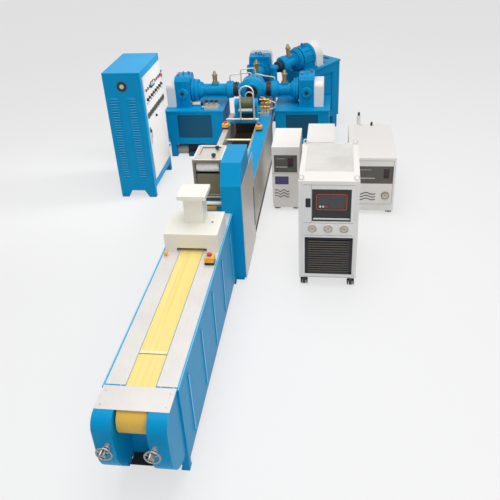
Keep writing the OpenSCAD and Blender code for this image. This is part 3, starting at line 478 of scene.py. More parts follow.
# Each finish has its slot, its maker, its colour or the name of a set colour, and the maker's other values.
# The first finish of a slot is also that of the slot's solids.
FINISHES = {
    "blue_enamel": ("blue_paint", enamel, "paint", (0.38, 0.03, 0.05, 0.06, 0.08)),
    "shaded_enamel": ("blue_paint", shaded, "paint", ()),
    # Painted highlight: a paler blue for the light caught by the panel rims and ribs and the louvre tops
    "edge_enamel": ("blue_paint", enamel, (96, 196, 236), (0.34, 0.06)),
    "hood_enamel": ("hood_white", enamel, "hood", (0.40, 0.15)),
    "unit_powder_coat": ("unit_white", enamel, "units", (0.45, 0.05, 0.12)),
    "guard_enamel": ("unit_white", enamel, (244, 243, 240), (0.42, 0.1)),
    "motor_grey": ("unit_white", enamel, (196, 184, 170), (0.45, 0.0)),
    "mark_white": ("unit_white", moulded, (228, 228, 224), (0.5, 0.05)),
    "dial_cream": ("unit_white", moulded, (206, 200, 180), (0.4, 0.05)),
    "table_plate": ("table_plate", brushed, (224, 220, 216), ("Y", 0.42, 0.12)),
    "belt_cover": ("belt_yellow", woven_belt, "belt", ()),
    "belt_splice": ("belt_yellow", moulded, (250, 240, 190), (0.5, 0.1)),
    # Painted shadow: the brown line along the near edge of the belt's splice
    "splice_brown": ("belt_yellow", moulded, (150, 100, 56), (0.5, 0.1)),
    "roller_steel": ("roller_steel", brushed, (190, 178, 150), ("X", 0.3)),
    "polished_chrome": ("chrome", brushed, (158, 154, 148), ("Y", 0.18)),
    # Darker steel: painted shade on the roll stand; the gauge cases and rims have this dark colour of their
    # own
    "worn_steel": ("chrome", brushed, (136, 131, 118), ("Z", 0.38, 0.8)),
    "zinc_plate": ("chrome", brushed, (206, 204, 198), ("X", 0.32, 0.9)),
    "stop_box_yellow": ("stop_yellow", moulded, (240, 178, 40), (0.42,)),
    "amber": ("stop_yellow", moulded, (232, 172, 78), (0.45, 0.05)),
    "stop_button_red": ("stop_red", moulded, (206, 30, 24), (0.3, 0.1, 0.3)),
    "lens_red": ("stop_red", moulded, (200, 32, 26), (0.16, 0.02, 0.5)),
    "digit_red": ("stop_red", moulded, (120, 34, 30), (0.4, 0.05)),
    "mark_orange": ("stop_red", moulded, (206, 88, 48), (0.45, 0.05)),
    "black_plastic": ("black_plastic", moulded, (34, 34, 36), (0.5,)),
    "dark_panel": ("black_plastic", moulded, (58, 58, 60), (0.35, 0.05, 0.2)),
    "panel_grey": ("black_plastic", moulded, (120, 124, 120), (0.5, 0.1)),
    "panel_dark_grey": ("black_plastic", moulded, (78, 80, 84), (0.5, 0.1)),
    "instrument_grey": ("black_plastic", moulded, (88, 86, 80), (0.5, 0.1)),
    "grille_grey": ("black_plastic", moulded, (84, 79, 72), (0.5, 0.1)),
    "lens_green": ("black_plastic", moulded, (36, 140, 70), (0.16, 0.02, 0.5)),
    "lens_blue": ("black_plastic", moulded, (30, 54, 150), (0.16, 0.02, 0.5)),
    "plate_indigo": ("black_plastic", moulded, (70, 66, 120), (0.4, 0.05)),
    "stainless_sheet": ("stainless", brushed, (212, 207, 200), ("Z", 0.36, 0.6)),
    "trim_steel": ("stainless", brushed, (190, 183, 165), ("Z", 0.4, 0.6)),
    "wire_mesh": ("stainless", wire_cloth, (230, 228, 222), ((180, 179, 174),)),
    "roll_cover_white": ("roll_white", moulded, (246, 244, 240), (0.4, 0.1)),
    "roll_cover_olive": ("roll_olive", moulded, (74, 84, 48), (0.35, 0.2)),
    "dark_steel": ("dark_steel", brushed, (66, 60, 50), ("Y", 0.4, 0.5)),
    "blackened_steel": ("dark_steel", brushed, (42, 39, 36), ("Y", 0.45, 0.4)),
    "pale_pipe": ("pipework", brushed, (214, 208, 192), ("Z", 0.32, 0.45)),
    "brass": ("pipework", brushed, (206, 160, 74), ("X", 0.3, 0.95)),
    "worn_brass": ("pipework", brushed, (176, 156, 116), ("Z", 0.34, 0.7)),
}


def colour_setting(name, description, *colour):
    """A colour in the panel, from an sRGB colour of 0 to 255."""
    return bpy.props.FloatVectorProperty(
        name=name, description=description, subtype="COLOR", size=3, min=0, max=1, default=linear(*colour))


def size_setting(name, description, low, high, value):
    """A size in the panel in millimetres, from low to high."""
    return bpy.props.FloatProperty(
        name=name, description=f"{description} in millimetres", min=low, max=high, default=value)


def angle_setting(name, description, value):
    """An angle in the panel, in radians."""
    return bpy.props.FloatProperty(name=name, description=description, subtype="ANGLE", default=value)


class LineColours(bpy.types.PropertyGroup):
    """Colours of the line's main finishes."""

    paint: colour_setting("Machine paint", "Gloss blue on the machine frames", 6, 149, 204)
    hood: colour_setting("Hood paint", "Cream paint on the tunnel hood", 238, 235, 225)
    units: colour_setting("Unit paint", "White powder coat on the temperature units", 234, 231, 227)
    belt: colour_setting("Belt", "Yellow cover of the take-off belt", 240, 221, 138)


class FittingSizes(bpy.types.PropertyGroup):
    """Sizes of the small parts, in millimetres."""

    bolt: size_setting("Bolt head", "Radius of the hexagon heads", 5, 14, 9.5)
    lamp: size_setting("Lamp", "Radius of the door lamps", 8, 18, 16.0)
    controller: size_setting("Controller", "Side of the square controllers", 40, 76, 61.0)
    dial: size_setting("Dial", "Radius of the gauge dials", 24, 37, 36.5)


class StudioSettings(bpy.types.PropertyGroup):
    """Camera and light of the studio."""

    focal: bpy.props.FloatProperty(
        name="Lens", description="Focal length on a 36 mm sensor", subtype="DISTANCE_CAMERA", default=44.667)
    eye: bpy.props.FloatVectorProperty(
        name="Eye", description="Place of the camera", subtype="TRANSLATION", unit="LENGTH",
        size=3, default=(0.9484, -5.6893, 3.4019))
    yaw: angle_setting("Yaw", "Turn of the camera to the left of the line", 0.155)
    pitch: angle_setting("Pitch", "Tilt of the camera below level", 0.560)
    roll: angle_setting("Roll", "Lean of the camera about its own axis", -0.0574)
    key: bpy.props.FloatProperty(name="Key", description="Power of the overhead light", default=345.0)
    fill: bpy.props.FloatProperty(
        name="Fill", description="Strength of the pale surroundings", default=0.32)


class DressFinishes(bpy.types.Operator):
    """Gives every solid of the line its finish"""

    bl_idname = "foxing_line.finishes"
    bl_label = "Finishes"

    # Solids with a finish other than the first of their slot
    APART = {
        # The roll stand takes the darker steel as painted shade
        "roll_stand": "worn_steel", "trough_trim": "trim_steel", "feed_ports": "worn_brass",
        "pulley_guards": "guard_enamel", "clamp_rings": "blackened_steel",
    }

    def execute(self, context):
        hues = context.scene.foxing_colours
        made, firsts = {}, {}
        for name, (slot, make, colour, values) in FINISHES.items():
            hue = tuple(getattr(hues, colour)) if isinstance(colour, str) else linear(*colour)
            made[name] = make(name, hue, *values)
            firsts.setdefault(slot, name)
        for part in FRAME["record"]["subparts"]:
            node, slot = part["node"], part["material_slot"]
            mesh = NODES[node].data
            mesh.materials.clear()
            mesh.materials.append(made[self.APART.get(node, firsts[slot])])
        return {"FINISHED"}


class FitFasteners(bpy.types.Operator):
    """Hexagon bolts and cap screws on the flanges, gearboxes, rings and plates"""

    bl_idname = "foxing_line.fasteners"
    bl_label = "Fasteners"

    # Bolt circles of a barrel's flange and hub and of the raised gearbox, and places along the screw
    FLANGE_RADIUS, HUB_RADIUS, RIM_RADIUS = 119.0, 109.5, 138.0
    HUB_PLACE, RING_PLACE = 46.0, -33.0
    RING_RADIUS = {"box": 92.0, "tower": 92.0, "round": 72.0}
    # Rows of bolts along a gearbox, its foot's half width and thickness, its cap's circle and its shoulder
    FOOT_ROW, SHOULDER_ROW = np.array([24.0, 73.0, 122.0, 171.0]), np.array([28.0, 75.0, 122.0, 169.0])
    FOOT_HALF, FOOT_SHEET, CAP_RADIUS = 169.0, 24.0, 50.0
    SHOULDER_HALF, SHOULDER_RISE = 137.5, 180.5
    # Circles on the die head, how far its cone stands before the screws, and the slope of the cone's bolts
    CONE_RADIUS, DIE_RADIUS, CONE_PLACE = 131.0, 65.0, -90.0
    CONE_OUT, CONE_NEAR = 50.0, -67.0

    def execute(self, context):
        head = context.scene.foxing_fittings.bolt
        washer = [(0, 0), (1.35, 0), (1.35, 0.16), (0, 0.16)]
        nut = [(0, 0.1), (0.9, 0.1), (1.1, 0.2), (1.1, 0.62), (0.92, 0.76), (0, 0.76)]
        cap = [(0, 0), (0.8, 0), (0.8, 0.7), (0.66, 0.84), (0.42, 0.84), (0.40, 0.4), (0, 0.4)]
        hexagon = join([lathe(np.array(washer) * head, 20), lathe(np.array(nut) * head, 6)])
        screw = lathe(np.array(cap) * head, 16)
        painted, studs = [], []
        for line in EXTRUDERS:
            self.flange(painted, hexagon, line)
            self.casing(painted, hexagon, line)
            turn = turns(10)
            rim = line.circle(line.start + self.RING_PLACE, self.RING_RADIUS[line.form], turn)
            studs.append(repeat(screw, rim, line.outwards(turn)))
        self.head(painted, studs, hexagon, screw)
        piece("painted_bolts", painted, "blue_enamel")
        piece("ring_screws", studs, "black_plastic", slot="dark_steel")
        piece("plate_screws", self.plates(screw), "zinc_plate")
        return {"FINISHED"}

    def flange(self, bolts, part, line):
        """Twelve bolts round the rear flange and eight round the front hub of a barrel."""
        rim = line.circle(line.collar, self.FLANGE_RADIUS, turns(12, math.tau / 24))
        bolts.append(repeat(part, rim, line.way(-1, 0, 0)))
        turn = turns(8)
        rim = line.circle(line.start + self.HUB_PLACE, self.HUB_RADIUS, turn)
        bolts.append(repeat(part, rim, line.outwards(turn)))

    def casing(self, bolts, part, line):
        """Foot bolts on every gearbox, then bolts on its caps and shoulders or round its rim."""
        along = np.repeat(line.gearbox + self.FOOT_ROW, 2)
        across = np.tile([-self.FOOT_HALF, self.FOOT_HALF], 4)
        bolts.append(repeat(part, line.place(along, across, line.deck + self.FOOT_SHEET), line.way(0, 0, 1)))
        if line.form == "round":
            rim = line.circle(line.gearbox, self.RIM_RADIUS, turns(12))
            bolts.append(repeat(part, rim, line.way(-1, 0, 0)))
            return
        ring = self.CAP_RADIUS * np.stack([np.cos(turns(6)), np.sin(turns(6))])
        for side in (-1, 1):
            cap = line.place(line.cap + ring[0], side * line.CAP_FACE, line.axis + ring[1])
            bolts.append(repeat(part, cap, line.way(0, side, 0)))
            if line.form == "box":
                shoulder = line.place(line.gearbox + self.SHOULDER_ROW, side * self.SHOULDER_HALF,
                                      line.axis + self.SHOULDER_RISE)
                bolts.append(repeat(part, shoulder, line.way(0, side, 1)))

    def head(self, painted, studs, hexagon, screw):
        """Bolts on the cone of the die head and screws on its die ring."""
        x, y, _ = Extruder.HEAD
        turn = turns(12, math.tau / 24)
        cone = wreath((x, y + self.CONE_PLACE, Extruder.AXIS), self.CONE_RADIUS, turn)
        painted.append(repeat(hexagon, cone, wreath((0.0, self.CONE_NEAR, 0.0), self.CONE_OUT, turn)))
        ring = wreath((x, corners("clamp_rings")[0][1], Extruder.AXIS), self.DIE_RADIUS, turn[:8] * 1.5)
        studs.append(repeat(screw, ring, NEAR))

    def plates(self, part):
        """Small screws on the cross strip, nose cover, stand top, channel edge, casing and side plate."""
        small = (part[0] * 0.55, part[1])
        table, cover, stand = (corners(name) for name in ("conveyor_table", "nose_cover", "roll_stand"))
        trim, plate = corners("trough_trim"), corners("stand_side_plate")
        edge = 12.0
        spots = [(x, 16, table[1][2]) for x in (-205, -125, 125, 205)]
        spots += [(x, y, cover[1][2]) for x in (-200, 200) for y in (-150, -40)]
        spots += [(x, y, stand[1][2]) for x in (stand[0][0] + edge, stand[1][0] - edge)
                  for y in (2380, 2520, 2650)]
        spots += [(trim[0][0] + 11, y, trim[1][2] + 1) for y in range(2800, 4700, 240)]
        side = [(trim[1][0], y, z) for y in range(3080, 5060, 220) for z in (110, 575)]
        side += [(plate[1][0], y, z) for y in (2250, 2600, 2940) for z in (70, 940)]
        return [repeat(small, spots), repeat(small, side, RIGHT)]


class FitDoor(bpy.types.Operator):
    """Lamps, switches, controllers, meters and the lock of the cabinet door"""

    bl_idname = "foxing_line.door"
    bl_label = "Door instruments"

    # The front of the door's sheet, the two ends of each row along the door and the rows' heights
    FACE = corners(DOOR)[0][0] + 20.0
    ENDS, WIDE_ENDS = (4030.0, 4640.0), (4012.0, 4652.0)
    LAMP_ROW, SWITCH_ROW, CONTROLLER_ROW = 1272.0, 1166.0, 990.0
    LOCK, KNOB = (3998.0, 772.0), (4290.0, 892.0)
    PLATE_DROP = 46.0

    def execute(self, context):
        sizes = context.scene.foxing_fittings
        self.lamps(sizes.lamp)
        self.switches()
        self.controllers(sizes.controller)
        self.handle()
        return {"FINISHED"}

    def row(self, ends, count, z):
        """Even places along the door's face at one height."""
        along = np.linspace(*ends, count)
        return np.stack([np.full(count, self.FACE), along, np.full(count, z)], axis=-1)

    def on_door(self, name, part, places, finish, spins=0.0):
        """One object on the face of the door, riding with it."""
        fit(name, part, places, finish, RIGHT, spins, DOOR)

    def lamps(self, radius):
        """A row of round lamps in bezels with two square meters among them and a red stop head."""
        row = self.row(self.ENDS, 9, self.LAMP_ROW)
        bezel = lathe([(0, 0), (radius + 4, 0), (radius + 4, 5), (radius, 8), (radius - 1, 4), (0, 4)])
        lens = lathe([(0, 3), (radius - 1, 3), (radius - 1, 9), (0.75 * radius, 13), (0.35 * radius, 15),
                      (0, 15.6)])
        self.on_door("lamp_bezels", bezel, row[[0, 1, 2, 5, 6, 7, 8]], "dark_panel")
        for colour, seats in (("red", [0, 6]), ("green", [1, 5]), ("blue", [2, 7])):
            self.on_door(f"lamps_{colour}", lens, row[seats], f"lens_{colour}")
        stop = lathe([(0, 0), (9, 0), (9, 14), (20, 18), (21, 26), (15, 30), (0, 31)])
        self.on_door("door_stop", stop, row[[8]], "stop_button_red")
        meters = row[[3, 4]]
        self.on_door("meter_cases", block(66, 66, 10, 5), meters, "black_plastic")
        scale = shifted(block(54, 38, 1.2, 2, 0.3), y=8, z=10)
        self.on_door("meter_scales", scale, meters, "mark_white")
        needle = shifted(block(1.6, 30, 0.8, 0.6, 0.2), y=8, z=11.2)
        self.on_door("meter_needles", needle, meters, "stop_button_red", 0.5)

    def switches(self):
        """A row of selector switches, each over a plain plate."""
        row = self.row(self.ENDS, 8, self.SWITCH_ROW)
        collar = lathe([(0, 0), (19, 0), (19, 6), (15, 11), (0, 11)])
        grip = shifted(block(9, 33, 14, 4, 2), z=10)
        collars = repeat(collar, row, RIGHT)
        grips = repeat(grip, row, RIGHT, np.tile([0.0, 0.7], 4))
        piece("selector_switches", [collars, grips], "black_plastic", DOOR)
        below = self.row(self.ENDS, 8, self.SWITCH_ROW - self.PLATE_DROP)
        self.on_door("switch_plates", block(42, 16, 1.4, 2, 0.3), below, "panel_grey")

    def controllers(self, side):
        """Eight square controllers with two display windows and four keys each."""
        row = self.row(self.WIDE_ENDS, 8, self.CONTROLLER_ROW)
        thick, lines = 12.0, (0.24 * side, -0.03 * side)
        case = join([block(side, side, thick, 4), shifted(hoop(side - 6, side - 6, 2.4, 4, 3), z=thick)])
        self.on_door("controllers", case, row, "instrument_grey")
        window = block(side * 0.7, side * 0.2, 0.9, 1.5, 0.3)
        self.on_door("controller_windows", join([shifted(window, y=y, z=thick) for y in lines]), row,
                     "black_plastic")
        bar = block(3.2, 8.5, 0.5, 0.6, 0.1)
        for name, y, finish in (("digits", lines[0], "lens_red"), ("setpoints", lines[1], "lens_green")):
            bars = join([shifted(bar, x=x, y=y, z=thick + 0.8) for x in (-13.5, -4.5, 4.5, 13.5)])
            self.on_door(f"controller_{name}", bars, row, finish)
        key = block(7.5, 5.5, 2, 1.5, 0.5)
        keys = join([shifted(key, x=x, y=-0.3 * side, z=thick) for x in (-19, -6.5, 6.5, 19)])
        self.on_door("controller_keys", keys, row, "mark_white")

    def handle(self):
        """A flush lock by the near edge and one small knob under the controllers."""
        place = [(self.FACE, *self.LOCK)]
        lock = join([block(30, 150, 5, 8), shifted(block(17, 108, 13, 7, 3), z=4)])
        self.on_door("door_lock", lock, place, "black_plastic")
        barrel = shifted(lathe([(0, 0), (8, 0), (8, 4), (0, 4)]), y=60, z=5)
        self.on_door("lock_barrel", barrel, place, "zinc_plate")
        knob = lathe([(0, 0), (17, 0), (17, 4), (13, 6), (12, 20), (0, 21)])
        self.on_door("door_knob", knob, [(self.FACE, *self.KNOB)], "black_plastic")


class FitUnits(bpy.types.Operator):
    """Gauges, displays, switches, seams, castor tyres and the wire top of the chiller and heaters"""

    bl_idname = "foxing_line.units"
    bl_label = "Unit fronts"

    # Front faces: the chiller's lies behind its lip, the heaters' are their nearest faces
    FRONTS = {"chiller": corners("chiller")[0][1] + 16.0, **{name: corners(name)[0][1] for name in HEATERS}}
    # Castors from a unit's sides and front, and the two tyres of each beside its fork
    CASTOR_SIDE, CASTOR_FRONT, TYRES = 45.0, 70.0, (-32.0, 20.5)
    # Gauges: their pitch and height on the chiller, their place on the wide heater and how far they stand out
    GAUGE_PITCH, GAUGE_ROW, GAUGE_OUT = 139.0, 636.0, 9.0
    HEATER_GAUGE = (95.0, 235.0)
    # Middle of the chiller's screen, its row of keys, its pull bar, its rocker and its wire top
    SCREEN, KEY_ROW, KEYS = (1118.0, 893.0), 850.0, (1020.0, 1046.0, 1073.0)
    PULL_ROW, ROCKER, WIRE_TOP = 728.0, (917.0, 885.0), (1091.5, 2640.0, 1085.0)
    # Margins of a heater's grey panel, its height, and its drop below the top
    PANEL_MARGIN, PANEL_TALL, PANEL_DROP = 48.0, 201.0, 194.5
    # Wavy slots: inset, share of the width, lowest row, pitch, swing and half height
    WAVE_INSET, WAVE_SHARE, WAVE_LOW, WAVE_PITCH, WAVE_SWING, WAVE_HALF = 24.0, 0.55, 187.5, 34.0, 11.0, 6.2

    def execute(self, context):
        self.gauges(context.scene.foxing_fittings.dial)
        self.chiller_panel()
        self.heater_panels()
        self.waves()
        self.castors()
        self.chiller_joints()
        self.heater_trim()
        self.filler()
        self.grille()
        return {"FINISHED"}

    def on_front(self, name, part, places, finish, spins=0.0):
        """One object on a front that faces the near side."""
        fit(name, part, places, finish, NEAR, spins)

    def castors(self):
        """Twin tyres beside the forks of all sixteen castors."""
        wheel = (corners("unit_castors")[1][2] - 8.0) / 2
        places = []
        for name, front in self.FRONTS.items():
            low, high = corners(name)
            columns = (low[0] + self.CASTOR_SIDE, high[0] - self.CASTOR_SIDE)
            rows = (front + self.CASTOR_FRONT, high[1] - self.CASTOR_FRONT)
            places += [(x + side, y, wheel) for x in columns for y in rows for side in self.TYRES]
        tyre = lathe([(0, 0), (wheel - 9, 0), (wheel - 2, 2), (wheel, 5), (wheel, 7), (wheel - 2, 10),
                      (wheel - 9, 12), (0, 12)], 28)
        fit("castor_tyres", tyre, places, "black_plastic", RIGHT)

    def chiller_joints(self):
        """Thin grey joints between the panels of the chiller's front."""
        front, across = self.FRONTS["chiller"], middle("chiller")[0]
        level = [(across, front, z) for z in (1056, 688, 562, 118)]
        upright = [(corners("chiller")[0][0] + 114, front, 872)]
        joints = [repeat(strip(433, 3), level, NEAR), repeat(strip(3, 370), upright, NEAR)]
        piece("chiller_joints", joints, "panel_grey")

    def heater_trim(self):
        """A kick plate under each heater, a frame on the wide one, a joint and a plate on the left one."""
        kicks = []
        for name in HEATERS:
            low, high = corners(name)
            place = [(middle(name)[0], self.FRONTS[name] + 3.0, low[2] - 31.0)]
            kicks.append(repeat(block(high[0] - low[0] - 6.0, 62, 3, 3, 1), place, NEAR))
        piece("heater_kicks", kicks, "unit_powder_coat")
        low, high = corners("heater_wide")
        frame = hoop(high[0] - low[0] - 44, high[2] - low[2] - 44, 0.8, 6, 3)
        across, _, tall = middle("heater_wide")
        self.on_front("heater_frame", frame, [(across, self.FRONTS["heater_wide"], tall - 6.0)], "panel_grey")
        low, high = corners("heater_left")
        front = self.FRONTS["heater_left"]
        seam = [(middle("heater_left")[0], front, 466.0)]
        self.on_front("heater_seam", strip(high[0] - low[0] - 8, 3), seam, "panel_grey")
        plate = [(low[0] + 106.0, front, 384.0)]
        self.on_front("heater_plate", block(150, 96, 1.6, 4, 0.5), plate, "plate_indigo")

    def grille(self):
        """A dark frame in the opening of the chiller's grille and grey lips along its slats."""
        low, high = corners("chiller")
        front = self.FRONTS["chiller"]
        wide, tall, slats = high[0] - low[0] - 93.0, 390.0, 16
        across, foot = low[0] + 53.0 + wide / 2, corners("unit_castors")[1][2] + 40.0
        frame = hoop(wide - 2, tall - 2, 2.0, 4, 22)
        self.on_front("grille_frame", frame, [(across, front + 3.4, foot + tall / 2)], "black_plastic")
        rows = [(across, front + 4.2, foot + tall * (row + 0.15) / slats) for row in range(1, slats - 1)]
        self.on_front("grille_lips", block(wide - 52, 13, 1.6, 1, 0.4), rows, "grille_grey")

    def filler(self):
        """A white filler neck with a black cap and a black breather at the back of the wide heater's top."""
        low, high = corners("heater_wide")
        neck = lathe([(0, 0), (30, 0), (30, 8), (21, 10), (21, 118), (18, 122), (0, 122)], 28)
        cap = lathe([(0, 0), (13, 0), (13, 34), (9, 40), (0, 40)], 24)
        across, back, top = low[0] + 115.0, high[1] - 40.0, high[2]
        fit("filler_neck", neck, [(across, back, top)], "unit_powder_coat")
        fit("filler_caps", cap, [(across, back, top + 121), (low[0] + 268, back, top)], "black_plastic")

    def gauges(self, radius):
        """Four dials: cream faces, eleven ticks over 270 degrees, a needle and a hub."""
        across, front = middle("chiller")[0], self.FRONTS["chiller"] - self.GAUGE_OUT
        centre = [(across + step * self.GAUGE_PITCH, front, self.GAUGE_ROW) for step in (-1, 0, 1)]
        wide, (inset, row) = corners("heater_wide")[1][0], self.HEATER_GAUGE
        centre.append((wide - inset, self.FRONTS["heater_wide"] - self.GAUGE_OUT, row))
        case = lathe([(0, -9), (radius + 7, -9), (radius + 7, 3), (radius + 3, 7), (radius, 7), (radius, 0),
                      (0, 0)], 48)
        self.on_front("gauge_case", case, centre[3:], "worn_steel")
        face = lathe([(0, 0), (radius, 0), (radius, 1.5), (0, 1.5)], 48)
        self.on_front("gauge_faces", face, centre, "dial_cream")
        rim = lathe([(radius - 1, 1), (radius + 5.5, 1), (radius + 5.5, 5.5), (radius + 2, 7),
                     (radius - 1, 4.5), (radius - 1, 1)], 48)
        self.on_front("gauge_rims", rim, centre[:3], "worn_steel")
        sweep = np.radians(np.linspace(-135, 135, 11))
        tick = shifted(block(2.2, 7, 0.5, 0.6, 0.1), y=radius - 7, z=1.4)
        self.on_front("gauge_ticks", repeat(tick, np.zeros((11, 3)), spins=sweep), centre, "black_plastic")
        needle = join([shifted(block(2.4, radius * 0.95, 1, 1, 0.2), y=radius * 0.25, z=2),
                       lathe([(0, 1), (5, 1), (5, 3.4), (0, 4)], 20)])
        self.on_front("gauge_needles", needle, centre, "stop_button_red", (0.9, -0.4, 1.4, 0.5))

    def chiller_panel(self):
        """Raised line, keys and a pull bar on the black panel, a rocker beside it and the wire top."""
        face = corners("unit_panels")[0][1]
        across, tall = self.SCREEN
        self.on_front("chiller_line", hoop(262, 152, 2.4, 16, 5), [(across, face, tall)], "mark_orange")
        self.on_front("chiller_screen", block(236, 126, 1.6, 8, 0.4), [(across, face, tall)], "dark_panel")
        key = lathe([(0, 0), (9, 0), (9, 3), (7, 4.5), (0, 4.5)], 24)
        keys = [(x, face - 1.5, self.KEY_ROW) for x in self.KEYS]
        self.on_front("chiller_keys", key, keys[:2], "mark_white")
        self.on_front("chiller_stop_key", key, keys[2:], "stop_button_red")
        pull = block(318, 15, 3, 6, 1.2)
        self.on_front("chiller_pull", pull, [(across, face, self.PULL_ROW)], "zinc_plate")
        rocker = join([block(44, 86, 4, 5), shifted(block(30, 66, 8, 4, 2), z=3)])
        across, tall = self.ROCKER
        self.on_front("chiller_switch", rocker, [(across, self.FRONTS["chiller"], tall)], "black_plastic")
        fit("chiller_wire_top", block(418, 617, 3.5, 3, 0.5), [self.WIRE_TOP], "wire_mesh")

    def heater_panels(self):
        """Grey fronts with a dark display, a pale line and three keys on each heater."""
        plates, displays, lines, reds, greens, digits = [], [], [], [], [], []
        key = lathe([(0, 0), (8, 0), (8, 4), (6, 6), (0, 6)], 20)
        for name in HEATERS:
            low, high = corners(name)
            width = high[0] - low[0] - self.PANEL_MARGIN
            x, y, z = middle(name)[0], self.FRONTS[name] + 3.0, high[2] - self.PANEL_DROP
            right, face = x + width * 0.5 - 72, y - 1.6
            plates.append(repeat(block(width - 4, self.PANEL_TALL, 1.6, 3, 0.5), [(x, y, z)], NEAR))
            displays.append(repeat(block(58, 104, 3, 4), [(right, face, z + 16)], NEAR))
            for share, tall, back, rise in ((0.5, 7, 0.18, -38), (0.36, 3, 0.2, 60)):
                place = [(x - width * back, face, z + rise)]
                lines.append(repeat(strip(width * share, tall), place, NEAR))
            keys = [(right + step, face, z - 74) for step in (-26, -2, 24)]
            greens.append(repeat(key, keys[:2], NEAR))
            reds.append(repeat(key, keys[2:], NEAR))
            rows = [(right + dx, y - 4.4, z + 16 + dz) for dz in (30, -4) for dx in (-15, -5, 5, 15)]
            digits.append(repeat(block(4.5, 13, 0.6, 0.8, 0.1), rows, NEAR))
        piece("heater_plates", plates, "instrument_grey")
        piece("heater_displays", displays, "black_plastic")
        piece("heater_lines", lines, "mark_white")
        piece("heater_keys", greens, "lens_green")
        piece("heater_stop_keys", reds, "lens_red")
        piece("heater_digits", digits, "digit_red")

    def waves(self):
        """Dark backs of the wavy slots: z = row + swing sin(4 pi u) +- half, u from 0 to 1 along the slot."""
        u = np.linspace(0.0, 1.0, 49)
        swing, half = self.WAVE_SWING * np.sin(4.0 * np.pi * u), self.WAVE_HALF
        strips = []
        for name in HEATERS:
            low, high = corners(name)
            along = low[0] + self.WAVE_INSET + 2.0 + u * ((high[0] - low[0]) * self.WAVE_SHARE - 4.0)
            loop = np.array([(6.5, -half), (5.0, -half), (5.0, half), (6.5, half)])
            depth = np.tile(self.FRONTS[name] + loop[:, 0], (49, 1))
            for row in range(3):
                height = self.WAVE_LOW + self.WAVE_PITCH * row + swing
                across = np.repeat(along[:, None], 4, axis=1)
                ring = np.stack([across, depth, height[:, None] + loop[:, 1]], axis=-1)
                ends = [np.repeat(ring[i].mean(axis=0)[None, None], 4, axis=1) for i in (0, -1)]
                strips.append(sheet(np.concatenate([ends[0], ring, ends[1]])))
        piece("wave_slot_backs", strips, "panel_dark_grey")


